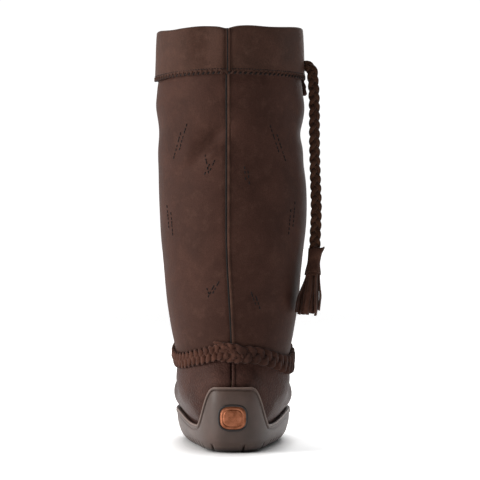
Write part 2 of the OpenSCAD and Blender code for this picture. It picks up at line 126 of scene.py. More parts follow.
def unit(v):
    return v / np.maximum(np.linalg.norm(v, axis=-1, keepdims=True), 1e-12)


def signed(q):
    """The same angle in degrees, from -180 to 180."""
    return (q + 180) % 360 - 180


def full_turn(n):
    """n angles in radians, evenly round a circle."""
    return np.linspace(0, 2 * math.pi, n, endpoint=False)


def grid(rows, columns):
    return np.meshgrid(rows, columns, indexing="ij")


def points(x, y, z):
    return np.stack(np.broadcast_arrays(x, y, z), axis=-1)


def grain(p, scale, seed=0.0, octaves=3):
    """Smooth noise at each point, about -1 to 1, with features of size scale."""
    flat = np.asarray(p, float).reshape(-1, 3) / scale + seed
    out = [noise.fractal(Vector(q), 0.8, 2.0, octaves) for q in flat]
    return np.array(out).reshape(np.shape(p)[:-1])


# ------------------------------------------------------------------ meshes
def add_mesh(name, shape, material, *nodes, body="root"):
    """Object of shape, its vertices and faces, that rides on body and replaces the CAD nodes."""
    verts, faces = shape
    mesh = bpy.data.meshes.new(name)
    mesh.from_pydata([tuple(v) for v in np.asarray(verts, float)], [], faces)
    mesh.validate()
    mesh.update()
    mesh.polygons.foreach_set("use_smooth", [True] * len(mesh.polygons))
    obj = bpy.data.objects.new(name, mesh)
    bpy.context.collection.objects.link(obj)
    mesh.materials.append(material)
    if body:
        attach(obj, body)
    if nodes:
        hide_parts(*nodes)
    return obj


def quads(n, m, start=0, wrap_n=False, wrap_m=False, flip=False):
    """Faces of a grid of n rows and m columns of points."""
    faces = []
    for i in range(n if wrap_n else n - 1):
        for j in range(m if wrap_m else m - 1):
            a, b = start + i * m + j, start + i * m + (j + 1) % m
            c, d = start + ((i + 1) % n) * m + (j + 1) % m, start + ((i + 1) % n) * m + j
            faces.append((a, d, c, b) if flip else (a, b, c, d))
    return faces


def skin(outer, inner, ring=False):
    """Closed skin between two grids of points of equal shape: vertices and faces."""
    n, m = outer.shape[:2]
    total = n * m
    faces = quads(n, m, 0, wrap_n=ring) + quads(n, m, total, wrap_n=ring, flip=True)
    for i in range(n if ring else n - 1):
        a, b = i * m, ((i + 1) % n) * m
        faces.append((a, b, b + total, a + total))
        faces.append((b + m - 1, a + m - 1, a + m - 1 + total, b + m - 1 + total))
    if not ring:
        for j in range(m - 1):
            a, b = j, (n - 1) * m + j
            faces.append((a + 1, a, a + total, a + 1 + total))
            faces.append((b, b + 1, b + 1 + total, b + total))
    return np.concatenate([outer.reshape(-1, 3), inner.reshape(-1, 3)]), faces


def tube(rings, ring=False):
    """Tube through rings of points, closed at its ends with flat caps."""
    n, m = rings.shape[:2]
    faces = quads(n, m, 0, wrap_n=ring, wrap_m=True, flip=True)
    if not ring:
        faces.append(tuple(range(m)))
        faces.append(tuple((n - 1) * m + j for j in reversed(range(m))))
    return rings.reshape(-1, 3), faces


def joined(parts):
    """One list of vertices and faces from several."""
    verts, faces, start = [], [], 0
    for v, f in parts:
        verts.append(v)
        faces += [tuple(start + k for k in face) for face in f]
        start += len(v)
    return np.concatenate(verts), faces


def sweep(path, half_w, half_t, up, sides=8, square=2.0, ring=False):
    """Rings of a strip along path: half_w wide along up and half_t thick across it."""
    path = np.asarray(path, float)
    if ring:
        along = unit(np.roll(path, -1, axis=0) - np.roll(path, 1, axis=0))
    else:
        along = unit(np.gradient(path, axis=0))
    up = np.broadcast_to(np.asarray(up, float), path.shape)
    side = unit(np.cross(along, up))
    wide = unit(np.cross(side, along))
    a = full_turn(sides)
    c, s = np.cos(a), np.sin(a)
    c = np.sign(c) * np.abs(c) ** (2 / square)
    s = np.sign(s) * np.abs(s) ** (2 / square)
    half_w = np.broadcast_to(half_w, len(path))[:, None, None]
    half_t = np.broadcast_to(half_t, len(path))[:, None, None]
    across = half_w * c[None, :, None] * wide[:, None]
    return path[:, None] + across + half_t * s[None, :, None] * side[:, None]


# ------------------------------------------------------------------ the boot's surfaces
def calf_mix(sizes, z):
    """A size of the shaft at height z, from its values at the ankle, calf and rim."""
    below = sizes["calf"] + (sizes["ankle"] - sizes["calf"]) * ((CALF_Z - z) / (CALF_Z - ANKLE_MEAN_Z)) ** 2
    above = sizes["calf"] + (sizes["rim"] - sizes["calf"]) * ((z - CALF_Z) / (RIM_Z - CALF_Z)) ** 2
    return np.where(z < CALF_Z, below, above)


def shaft_x(z):
    return mix(ANKLE_X, SHAFT_RIM_X, smooth(0.2, 0.3, z))


def shaft_at(q, z, out=0.0):
    """Point of the shaft at q degrees from the back (90 medial, 180 front), out metres outside its face."""
    half_d = calf_mix(SHAFT_HALF_D, z)
    x = shaft_x(z) + (calf_mix(SHAFT_HALF_W, z) + out) * sin_d(q)
    y = calf_mix(SHAFT_BACK, z) - half_d + (half_d + out) * cos_d(q)
    return points(x, y, z)


def ankle_z(q):
    return ANKLE_MEAN_Z + ANKLE_TILT * cos_d(q) + ANKLE_DIP * cos_d(2 * q)


def back_q(z):
    seam_x = mix(SEAM_ANKLE_X, SEAM_RIM_X, smooth(0.09, 0.2, z))
    return np.degrees(np.arcsin((seam_x - shaft_x(z)) / calf_mix(SHAFT_HALF_W, z)))


# Folds and dents of the soft shaft: angle, height, half width in degrees, half height, tilt, depth
FOLDS = [
    (12, 0.2895, 13, 0.0105, -0.45, -7.0),
    (12, 0.276, 9, 0.0034, -0.9, 3.4),
    (27, 0.268, 9, 0.006, -0.4, -2.6),
    (34, 0.285, 8, 0.02, 0.0, 1.1),
    (-88, 0.294, 24, 0.011, 0.0, -2.8),
    (-86, 0.320, 26, 0.012, 0.0, 1.9),
    (-88, 0.268, 26, 0.012, 0.0, -0.8),
    (-88, 0.240, 30, 0.025, 0.0, 1.0),
    (-88, 0.165, 30, 0.03, 0.0, -1.4),
    (88, 0.297, 26, 0.016, 0.0, -2.4),
    (88, 0.322, 24, 0.010, 0.0, 0.9),
    (88, 0.262, 26, 0.02, 0.0, -0.8),
    (88, 0.170, 30, 0.03, 0.0, -0.8),
    (60, 0.225, 34, 0.03, -0.2, -0.7),
    (-35, 0.215, 20, 0.02, 0.5, -0.8),
    (-40, 0.128, 26, 0.012, 0.2, -0.8),
    (45, 0.134, 28, 0.011, -0.2, -0.7),
    (150, 0.15, 34, 0.010, 0.1, -1.4),
    (-150, 0.165, 34, 0.011, -0.1, -1.4),
    (175, 0.127, 40, 0.008, 0.0, -1.6),
    (170, 0.24, 30, 0.03, 0.4, -1.2),
    (-125, 0.28, 28, 0.02, -0.3, -1.1),
    (120, 0.2, 26, 0.024, 0.3, -1.0),
]


def slouch(q, z):
    """How far the soft shaft stands out of its plain shape: folds, a pinch at the hem and the seam's tuck."""
    out = np.zeros(np.broadcast(q, z).shape)
    for fold_q, fold_z, wide, tall, tilt, depth in FOLDS:
        turn = signed(q - fold_q)
        level = z - fold_z - tilt * turn / wide * tall * 2
        out += depth * MM * bell(turn, wide) * bell(level, tall)
    out -= 0.9 * MM * bell(z - HEM_Z, 0.006)
    from_seam = signed(q - back_q(z))
    out += 2.4 * MM * np.exp(-np.abs(from_seam) / 15) - 1.1 * MM * bell(from_seam - 1.5, 1.6)
    wave = points(sin_d(q) * 0.07, cos_d(q) * 0.07, z)
    return out + 0.55 * MM * grain(wave, 0.055, 3.0, 2) * smooth(ANKLE_MEAN_Z, 0.12, z)


def side_share(v):
    return np.maximum(0, sin_d(180 * v)) ** 0.6


def outline(v, side, inset):
    """Sole's outline: v runs from the heel 0 to the toe 1 on either side."""
    half = mix(HEEL_HW, BALL_HW, smooth(0.2, 0.62, v)) - inset
    axis = mix(SOLE_X, TOE_X, smooth(0.5, 1, v))
    return points(axis + side * half * side_share(v), (HALF_L - inset) * cos_d(180 * v), 0.0)


def outwards(v, side):
    return unit(points(side * side_share(v), cos_d(180 * v), 0.0))


def wall_z(v):
    """Height of the sole's side wall: up to 5 mm above the CAD's past the heel cup, after the photo."""
    cup = mix(HEEL_CUP_Z, WAIST_Z, smooth(0.06, 0.226, v) ** 1.3)
    return cup + (BALL_Z - WAIST_Z) * smooth(0.26, 0.5, v) + 2 * MM * smooth(0.7, 1, v)


def quarter_q(v):
    return np.where(v <= 0, 0, mix(WELT_Q, CORNER_Q, (v - SEAM_V) / (CORNER_V - SEAM_V)))


def apron_edge(v, side, depth):
    t = np.clip((v - CORNER_V) / (1 - CORNER_V), 0, 1)
    q = side * CORNER_Q
    corner = shaft_at(q, ankle_z(q) - 0.25 * MM)
    reach = sin_d(90 * t)
    mid_x = shaft_x(ANKLE_MEAN_Z)
    p = points(
        mix(mid_x, TOE_X, t) + (corner[..., 0] - mid_x) * np.maximum(cos_d(90 * t), 0) ** 0.55,
        mix(corner[..., 1], TOE_SEAM_Y, reach),
        mix(TOE_SEAM_Z, corner[..., 2], (1 - reach) ** 1.25),
    )
    turn = smooth(0, 0.3, t)[..., None]
    level = mix(points(sin_d(q), cos_d(q), 0.0), outwards(v, side), turn)
    return p - depth * unit(level * (1 - 0.85 * turn) + UP * 0.85 * turn)


def top_edge(v, side, depth):
    q = quarter_q(np.minimum(v, CORNER_V))
    back = shaft_at(side * q, ankle_z(q) - 0.25 * MM, -depth)
    return np.where((v > CORNER_V)[..., None], apron_edge(v, side, depth), back)


def foot_at(v, side, r, depth=0.0, low_z=None):
    """Point of the foot's side: r is 0 at the board, 1 at the cup's edge and 2 at the top edge."""
    v, side, r = np.broadcast_arrays(np.asarray(v, float), side, np.asarray(r, float))
    edge = outline(v, side, CUP_INSET + depth)
    low = edge + points(0.0, 0.0, (BOARD_Z if low_z is None else low_z) + 0 * v)
    edge = edge + points(0.0, 0.0, wall_z(v) + 0.6 * MM)
    top = top_edge(v, side, depth)
    rise = top[..., 2] - edge[..., 2]
    front = smooth(CORNER_V - 0.06, CORNER_V + 0.2, v)[..., None]
    push = (2 * MM + 15 * MM * np.maximum(sin_d(180 * v), 0) ** 1.5)[..., None]
    c1 = edge + push * outwards(v, side) + points(0.0, 0.0, 2 * MM + 0.3 * rise)
    full = (9 * MM * smooth(0.08, 0.28, v))[..., None]
    rear = full * outwards(v, side) + points(0.0, 0.0, -0.45 * rise)
    c2 = top + mix(rear, 18 * MM * outwards(v, side) + np.array([0, 0, -MM]), front)
    s = np.maximum(0, r - 1)[..., None]
    u = 1 - s
    curve = u ** 3 * edge + 3 * u * u * s * c1 + 3 * u * s * s * c2 + s ** 3 * top
    return np.where((r < 1)[..., None], mix(low, edge, r[..., None]), curve)


# ------------------------------------------------------------------ materials
def srgb(r, g, b):
    shares = [c / 255 for c in (r, g, b)]
    return tuple(c / 12.92 if c <= 0.04 else ((c + 0.055) / 1.055) ** 2.4 for c in shares) + (1.0,)


class Nodes:
    """Short hand for one material's node tree."""

    def __init__(self, name, roughness, metallic=0.0, specular=0.5, sheen=0.0, sheen_rough=0.5,
                 tint=(1, 1, 1, 1)):
        self.material = bpy.data.materials.new(name)
        self.material.use_nodes = True
        self.tree = self.material.node_tree
        self.shader = self.tree.nodes["Principled BSDF"]
        self.shader.inputs["Roughness"].default_value = roughness
        self.shader.inputs["Metallic"].default_value = metallic
        self.shader.inputs["Specular IOR Level"].default_value = specular
        self.shader.inputs["Specular Tint"].default_value = tint
        self.shader.inputs["Sheen Weight"].default_value = sheen
        self.shader.inputs["Sheen Roughness"].default_value = sheen_rough
        self.place = self.node("ShaderNodeTexCoord").outputs["Object"]

    def node(self, kind, **values):
        new = self.tree.nodes.new(kind)
        for key, value in values.items():
            setattr(new, key, value)
        return new

    def link(self, value, socket):
        """Socket takes a value, a colour as three bytes or another socket."""
        if isinstance(value, bpy.types.NodeSocket):
            self.tree.links.new(value, socket)
        elif isinstance(value, tuple) and len(value) == 3:
            socket.default_value = srgb(*value)
        else:
            socket.default_value = value

    def noise(self, size, detail=3.0, rough=0.5, stretch=None, distortion=0.0):
        n = self.node("ShaderNodeTexNoise")
        self.link(self.stretched(stretch), n.inputs["Vector"])
        n.inputs["Scale"].default_value = 1 / size
        n.inputs["Detail"].default_value = detail
        n.inputs["Roughness"].default_value = rough
        n.inputs["Distortion"].default_value = distortion
        return n.outputs["Fac"]

    def cells(self, size):
        n = self.node("ShaderNodeTexVoronoi")
        self.link(self.place, n.inputs["Vector"])
        n.inputs["Scale"].default_value = 1 / size
        return n.outputs["Distance"]

    def stretched(self, stretch):
        if stretch is None:
            return self.place
        n = self.node("ShaderNodeMapping")
        self.link(self.place, n.inputs["Vector"])
        n.inputs["Scale"].default_value = stretch
        return n.outputs["Vector"]

    def maths(self, operation, a, b=0.0):
        n = self.node("ShaderNodeMath", operation=operation)
        self.link(a, n.inputs[0])
        self.link(b, n.inputs[1])
        return n.outputs[0]

    def span(self, value, low, high, to_low=0.0, to_high=1.0):
        n = self.node("ShaderNodeMapRange")
        self.link(value, n.inputs["Value"])
        for key, v in (("From Min", low), ("From Max", high), ("To Min", to_low), ("To Max", to_high)):
            n.inputs[key].default_value = v
        return n.outputs["Result"]

    def blend(self, share, a, b):
        n = self.node("ShaderNodeMix", data_type="RGBA")
        self.link(share, n.inputs["Factor"])
        self.link(a, n.inputs["A"])
        self.link(b, n.inputs["B"])
        return n.outputs["Result"]

    def ramp(self, value, low, high, a, b, share=1.0):
        """Colour a below low, with the share of b in it growing as value goes up to high."""
        return self.blend(self.span(value, low, high, 0.0, share), a, b)

    def attribute(self, name):
        return self.node("ShaderNodeAttribute", attribute_name=name).outputs["Fac"]

    def finish(self, colour, rough, layers):
        """layers: (height, strength, distance) of each bump, coarse to fine."""
        self.link(colour, self.shader.inputs["Base Color"])
        self.link(rough, self.shader.inputs["Roughness"])
        normal = None
        for height, strength, distance in layers:
            bump = self.node("ShaderNodeBump")
            bump.inputs["Strength"].default_value = strength
            bump.inputs["Distance"].default_value = distance
            self.link(height, bump.inputs["Height"])
            if normal:
                self.link(normal, bump.inputs["Normal"])
            normal = bump.outputs["Normal"]
        if normal:
            self.link(normal, self.shader.inputs["Normal"])
        return self.material


def leather(name, dark, mid, light, rough=(0.54, 0.72), pebble=0.9 * MM, depth=0.22, specular=0.13):
    """Oiled, slightly waxy grain leather: soft mottling, fine creases and a pebbled grain."""
    m = Nodes(name, 0.5, specular=specular, tint=(0.62, 0.47, 0.42, 1))
    broad = m.noise(34 * MM, 4, 0.55, distortion=0.5)
    patches = m.noise(9 * MM, 4, 0.6)
    colour = m.ramp(broad, 0.36, 0.66, dark, mid)
    colour = m.ramp(patches, 0.5, 0.78, colour, light, 0.5)
    grain_cells = m.cells(pebble)
    creases = m.span(m.noise(5 * MM, 5, 0.65, distortion=1.4), 0.46, 0.54)
    pores = m.noise(0.5 * MM, 2, 0.6)
    colour = m.ramp(grain_cells, 0.25, 0.75, colour, tuple(c * 0.62 for c in dark), 0.3)
    roughness = m.span(m.maths("ADD", patches, m.maths("MULTIPLY", broad, 0.6)), 0.5, 1.1, rough[0], rough[1])
    return m.finish(colour, roughness, [
        (creases, 0.12, 0.5 * MM),
        (m.span(grain_cells, 0.0, 0.8, 1.0, 0.0), depth, 0.35 * MM),
        (pores, 0.1, 0.1 * MM),
    ])


def suede(name, dark, mid, light):
    """Brushed suede: a short nap that shifts from dark to light."""
    m = Nodes(name, 0.9, specular=0.1, sheen=0.1, sheen_rough=0.45, tint=(0.8, 0.6, 0.5, 1))
    broad = m.noise(7 * MM, 4, 0.6)
    fine = m.noise(0.6 * MM, 4, 0.75)
    colour = m.ramp(broad, 0.35, 0.68, dark, mid)
    colour = m.ramp(fine, 0.5, 0.75, colour, light, 0.6)
    return m.finish(colour, m.span(fine, 0.3, 0.7, 0.8, 0.96), [
        (broad, 0.15, 0.4 * MM), (fine, 0.45, 0.3 * MM)])


def rubber(name, dark, mid, light):
    """Moulded rubber, leather brown, with a fine moulded grain and scuffs, and painted shade near the bottom.
    """
    m = Nodes(name, 0.5, specular=0.45)
    broad = m.noise(26 * MM, 4, 0.55)
    scuffs = m.noise(1.2 * MM, 4, 0.7, stretch=(1, 1, 5))
    skin_grain = m.cells(0.8 * MM)
    colour = m.ramp(broad, 0.35, 0.68, dark, mid)
    colour = m.ramp(scuffs, 0.55, 0.8, colour, light, 0.35)
    # Painted shade: from 5.5 mm down to 1.4 mm above the ground the colour runs to near-black, where the
    # sole's underside lies in shadow.
    height = m.node("ShaderNodeSeparateXYZ")
    m.link(m.place, height.inputs[0])
    colour = m.blend(m.span(height.outputs["Z"], 1.4 * MM, 5.5 * MM, 0.95, 0.0), colour, (10, 7, 6))
    return m.finish(colour, m.span(scuffs, 0.3, 0.75, 0.42, 0.62), [
        (broad, 0.05, 1 * MM), (m.span(skin_grain, 0, 0.8, 1, 0), 0.12, 0.2 * MM), (scuffs, 0.05, 0.1 * MM)])


def pile(name, dark, mid, light):
    """Sheared fleece: tight curls with a bright tip and a shaded root."""
    m = Nodes(name, 0.95, specular=0.15, sheen=0.5, sheen_rough=0.5)
    curls = m.cells(2.6 * MM)
    broad = m.noise(18 * MM, 3, 0.5)
    fibre = m.noise(0.7 * MM, 4, 0.8, distortion=1.5)
    colour = m.ramp(broad, 0.3, 0.7, dark, mid)
    colour = m.blend(m.span(curls, 0.1, 0.7, 0.75, 0.0), colour, light)
    colour = m.ramp(fibre, 0.45, 0.75, colour, dark, 0.35)
    return m.finish(colour, m.span(fibre, 0.3, 0.7, 0.85, 0.98), [
        (m.span(curls, 0.0, 0.8, 1.0, 0.0), 0.6, 1.2 * MM), (fibre, 0.5, 0.4 * MM)])


def metal_foil(name, dark, mid, light):
    """Burnished copper foil inlay, a little worn."""
    m = Nodes(name, 0.35, metallic=0.75, specular=0.5)
    broad = m.noise(7 * MM, 4, 0.6)
    brushed = m.noise(0.9 * MM, 4, 0.7, stretch=(1, 1, 6))
    colour = m.ramp(broad, 0.35, 0.65, dark, mid)
    colour = m.ramp(brushed, 0.52, 0.75, colour, light, 0.6)
    return m.finish(colour, m.span(brushed, 0.3, 0.75, 0.3, 0.52), [
        (broad, 0.12, 0.4 * MM), (brushed, 0.14, 0.1 * MM)])


def felt(name, dark, mid, light):
    """Pressed fibre or foam: midsole, board and footbed."""
    m = Nodes(name, 0.85, specular=0.3)
    speckle = m.noise(1.1 * MM, 5, 0.75)
    broad = m.noise(16 * MM, 3, 0.5)
    cells = m.cells(1.3 * MM)
    colour = m.ramp(broad, 0.3, 0.7, dark, mid)
    colour = m.ramp(speckle, 0.5, 0.75, colour, light, 0.7)
    return m.finish(colour, m.span(speckle, 0.3, 0.7, 0.75, 0.92), [
        (m.span(cells, 0, 0.8, 1, 0), 0.25, 0.3 * MM), (speckle, 0.2, 0.2 * MM)])


def waxed_thread(name, dark, mid, light):
    m = Nodes(name, 0.5, specular=0.4)
    twist = m.noise(0.5 * MM, 3, 0.6, stretch=(1, 1, 0.4))
    colour = m.ramp(twist, 0.35, 0.65, dark, mid)
    colour = m.ramp(twist, 0.6, 0.8, colour, light, 0.6)
    return m.finish(colour, m.span(twist, 0.3, 0.7, 0.42, 0.62), [(twist, 0.4, 0.15 * MM)])


SHAFT_LEATHER = leather("shaft_leather", (56, 36, 30), (68, 45, 38), (84, 60, 51))
CUFF_LEATHER = leather("cuff_leather", (60, 41, 34), (73, 50, 42), (90, 66, 57))
FOOT_LEATHER = leather("foot_leather", (56, 36, 31), (69, 46, 40), (88, 62, 54), pebble=1.7 * MM,
                       depth=0.8, specular=0.16, rough=(0.44, 0.6))
SEAM_LEATHER = leather("seam_leather", (60, 41, 34), (78, 54, 45), (100, 74, 61), pebble=0.7 * MM)
SUEDE_DARK = suede("suede_dark", (44, 28, 24), (66, 44, 38), (88, 63, 54))
CORD_SUEDE = suede("cord_suede", (42, 24, 17), (66, 43, 32), (100, 72, 54))
TASSEL_SUEDE = suede("tassel_suede", (52, 32, 25), (74, 49, 40), (96, 70, 58))
SOLE_RUBBER = rubber("sole_rubber", (64, 49, 42), (79, 61, 54), (100, 80, 71))
# A lighter copy of the sole's rubber: painted highlight where the cup's lip catches the light.
LIP_RUBBER_PAINTED_HIGHLIGHT = rubber("lip_rubber_painted_highlight", (98, 78, 69), (118, 98, 88), (140, 120, 110))
COPPER = metal_foil("badge_copper", (120, 66, 40), (168, 104, 74), (206, 146, 112))
# Near-black: the thread of the dark stitches, and painted shade in the seams' grooves and under the hem's
# teeth.
DARK_THREAD_AND_SHADE = felt("dark_thread_and_painted_shade", (10, 7, 6), (16, 11, 10), (24, 17, 15))
BADGE_RIM = rubber("badge_rim", (26, 18, 16), (36, 26, 23), (60, 46, 41))
FLEECE = pile("fleece", (74, 58, 47), (104, 84, 69), (140, 118, 98))
FOOTBED_PILE = pile("footbed_pile", (150, 130, 104), (184, 164, 136), (214, 198, 172))
FOAM = felt("footbed_foam", (88, 92, 98), (110, 115, 120), (140, 145, 150))
MIDSOLE = felt("midsole_foam", (106, 94, 80), (130, 117, 100), (152, 140, 122))
BOARD = felt("board_fibre", (138, 120, 94), (166, 148, 120), (190, 174, 148))
STIFFENER = felt("stiffener_fibre", (96, 82, 66), (120, 104, 86), (146, 130, 110))
THREAD = waxed_thread("thread", (40, 26, 21), (62, 43, 35), (92, 68, 56))


# ------------------------------------------------------------------ tie cord and tassel
TIE_PATH = np.array([
    [-68.6, 78, 358], [-70, 78, 358], [-71.5, 78, 358], [-73, 78, 357.6], [-75, 78, 355], [-76, 78.3, 351],
    [-76.3, 78.7, 346], [-76.9, 79, 340], [-77.3, 79.5, 332], [-77.6, 80, 322], [-77.7, 80.5, 310],
    [-77.7, 81, 296], [-77.8, 81.5, 282], [-78.1, 82, 268], [-78.5, 82.6, 254], [-79, 83.2, 240],
    [-79.3, 83.8, 226], [-79, 84.4, 212], [-78.4, 85, 200], [-78, 85.4, 192], [-78, 85.4, 186.6]]) * MM
TIE_PITCH = 25.5 * MM            # length in which each strand comes back to the same edge
TASSEL_TOP = TIE_PATH[-1]


def resampled(path, step):
    """Points on a smooth curve through path, about step apart, with their distance along it."""
    path = np.asarray(path, float)
    dense = []
    padded_path = np.concatenate([[2 * path[0] - path[1]], path, [2 * path[-1] - path[-2]]])
    for i in range(1, len(padded_path) - 2):
        p0, p1, p2, p3 = padded_path[i - 1:i + 3]
        for t in np.linspace(0, 1, 12, endpoint=False):
            dense.append(0.5 * (2 * p1 + (p2 - p0) * t + (2 * p0 - 5 * p1 + 4 * p2 - p3) * t * t
                                + (3 * p1 - p0 - 3 * p2 + p3) * t ** 3))
    dense = np.array(dense + [path[-1]])
    run = np.concatenate([[0], np.cumsum(np.linalg.norm(np.diff(dense, axis=0), axis=1))])
    s = np.linspace(0, run[-1], max(3, int(round(run[-1] / step)) + 1))
    return np.stack([np.interp(s, run, dense[:, k]) for k in range(3)], axis=1), s


def plait(line, wide, normal, phase, spread, lift_out, half_w, half_t):
    """Three strands plaited along line: spread is half the plait's width between strand middles."""
    parts = []
    for k in range(3):
        a = phase + k * 2 * math.pi / 3
        offset = np.sin(a) * spread
        bob = np.sin(2 * a) * lift_out
        strand = line + offset[:, None] * wide + bob[:, None] * normal
        flat_w = half_w * (1 + 0.10 * np.cos(2 * a))
        parts.append(tube(sweep(strand, flat_w, half_t, wide, 10, 2.4)))
    return joined(parts)


tie_line, tie_run = resampled(TIE_PATH, 0.9 * MM)
tie_along = unit(np.gradient(tie_line, axis=0))
tie_wide = unit(np.cross(tie_along, np.array([0, 1.0, 0])))
tie_normal = unit(np.cross(tie_wide, tie_along))
twist = 0.35 * np.sin(tie_run / 0.055)
tie_wide, tie_normal = (
    unit(tie_wide * np.cos(twist)[:, None] + tie_normal * np.sin(twist)[:, None]),
    unit(tie_normal * np.cos(twist)[:, None] - tie_wide * np.sin(twist)[:, None]),
)
tie_phase = tie_run / TIE_PITCH * 2 * math.pi
tie_shape = plait(tie_line, tie_wide, tie_normal, tie_phase, 3.3 * MM, 1.5 * MM, 2.35 * MM, 1.55 * MM)
tie = add_mesh("tie_plait", tie_shape, CORD_SUEDE, "tie_cord_top", "tie_cord", body=None)
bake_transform(tie)


def hash_wave(i, seed):
    """Fixed pseudo-random value from -1 to 1 for piece i."""
    return math.sin(i * 12.9898 + seed * 78.233) * math.cos(i * 4.1414 + seed * 2.7)


# Wrap round the cord's end: a strip of suede rolled twice, with the loose corner at its top
wrap_rows, wrap_cols = 21, 96
t, a = grid(np.linspace(0, 1, wrap_rows), np.linspace(0, 4.3 * math.pi, wrap_cols))
turns = a / (2 * math.pi)
wrap_r = mix(6.0, 5.5, smooth(0.1, 0.5, t)) + 1.6 * smooth(0.5, 1.0, t) + 0.75 * turns - 0.8
wrap_r = wrap_r + 0.25 * np.sin(3 * a + 5 * t)
flap = smooth(1.85, 2.15, turns) * smooth(0.25, 0.0, t)
wrap_r = (wrap_r + 2.6 * flap) * MM
wrap_z = -t * (23.5 + 1.6 * np.sin(a * 1.5)) * MM + flap * 1.6 * MM
start_a = math.radians(150)
lean_y = 0.16


def tassel_lean(z):
    """How far the tassel's middle has swung toward the shaft at depth z below its top."""
    return 7.8 * MM * np.clip(-z / (62 * MM), 0, 1.2) ** 1.25


mid_x = TASSEL_TOP[0] + tassel_lean(wrap_z)
mid_y = TASSEL_TOP[1] - lean_y * wrap_z
wrap = points(mid_x + wrap_r * np.cos(a + start_a), mid_y + wrap_r * np.sin(a + start_a),
              TASSEL_TOP[2] + 0.6 * MM + wrap_z)
inner = wrap - unit(wrap - points(mid_x, mid_y, wrap[..., 2])) * 0.75 * MM
wrap_shape = skin(np.swapaxes(wrap, 0, 1), np.swapaxes(inner, 0, 1))
tassel_wrap = add_mesh("tassel_wrap", wrap_shape, TASSEL_SUEDE, "tassel_head", body="tassel")

# Core of rolled fringe inside the wrap, then the cut strips
core_z = np.linspace(2.2, -24, 12) * MM
core = points(TASSEL_TOP[0] + tassel_lean(core_z), TASSEL_TOP[1] - lean_y * core_z, TASSEL_TOP[2] + core_z)
core_r = np.array([2.5, 4.4, 4.9, 4.7, 4.4, 4.2, 4.2, 4.6, 5.4, 6.0, 6.0, 4.0]) * MM
core_skin = sweep(core, core_r, core_r, (1.0, 0, 0), 14)
parts = [tube(core_skin)]
for i in range(24):
    layer = i % 3
    ang = 2 * math.pi * (i + 0.35 * hash_wave(i, 1)) / 24
    top_r, low_r = (4.2 + layer * 0.8, 6.4 + layer * 2.3)
    drop = 60.0 + 2.6 * hash_wave(i, 2) - (1.5 if layer == 2 else 0)
    s = np.linspace(0, 1, 12)
    r = (top_r + (low_r - top_r) * smooth(0, 0.8, s) + 0.7 * hash_wave(i, 3) * np.sin(s * 5 + i)) * MM
    z = -(19.5 + (drop - 19.5) * s) * MM
    turn = ang + 0.16 * hash_wave(i, 4) * s + 0.05 * np.sin(6 * s + i)
    line = points(TASSEL_TOP[0] + tassel_lean(z) + r * np.cos(turn),
                  TASSEL_TOP[1] - lean_y * z + r * np.sin(turn), TASSEL_TOP[2] + z)
    tangent = points(-np.sin(turn + 0.5 * hash_wave(i, 5)), np.cos(turn + 0.5 * hash_wave(i, 5)), 0 * turn)
    width = (1.95 + 0.25 * hash_wave(i, 6)) * (0.8 + 0.3 * smooth(0, 0.5, s)) * MM
    parts.append(tube(sweep(line, width, 0.75 * MM, tangent, 8, 2.8)))
fringe = add_mesh("tassel_strips", joined(parts), TASSEL_SUEDE, "tassel_fringe", body="tassel")


# ------------------------------------------------------------------ shaft
for side_name, side in SIDES.items():
    t, j = grid(np.linspace(0, 1, 150), np.linspace(0, 1, 170))
    seam_z = mix(ANKLE_MEAN_Z, SHAFT_TOP, j)
    q = mix(back_q(seam_z) + side * SEAM_GAP_Q, side * (180 - SEAM_GAP_Q), t)
    z = mix(ankle_z(q) + 0.25 * MM, SHAFT_TOP, j)
    shape = slouch(q, z)
    panel = skin(shaft_at(q, z, shape), shaft_at(q, z, shape - LEATHER))
    add_mesh("shaft_skin_" + side_name, panel, SHAFT_LEATHER, "shaft_" + side_name)


def seam_ridge(name, z_values, front, out, half_w, half_t, material, *nodes, shift=0.0):
    """Raised welt that runs up a seam of the shaft, turned in at the hem like the panels beside it."""
    q = back_q(z_values) + shift if not front else 180 - back_q(z_values)
    path = shaft_at(q, z_values, slouch(q, z_values) + out)
    face_out = points(sin_d(q), cos_d(q), 0.0)
    add_mesh(name, tube(sweep(path, half_t, half_w, face_out, 12, 2.3)), material, *nodes)


welt_z = np.linspace(SHAFT_LOW + 4 * MM, SHAFT_TOP - 0.5 * MM, 260)
welt_wave = 0.12 * MM * np.sin(welt_z / 0.0021)
WELT_SIZE = (0.1 * MM + welt_wave, 1.35 * MM, 0.95 * MM)
seam_ridge("back_seam_ridge", welt_z, False, *WELT_SIZE, SEAM_LEATHER, "back_welt", shift=-0.35)
# A near-black strip in the groove beside the back welt: painted shade where the seam's gap lies in shadow.
seam_ridge("back_seam_groove_painted_shade", welt_z, False, -0.15 * MM, 1.0 * MM, 1.15 * MM, DARK_THREAD_AND_SHADE, shift=1.45)
seam_ridge("front_seam_ridge", welt_z, True, *WELT_SIZE, SEAM_LEATHER, "front_welt")


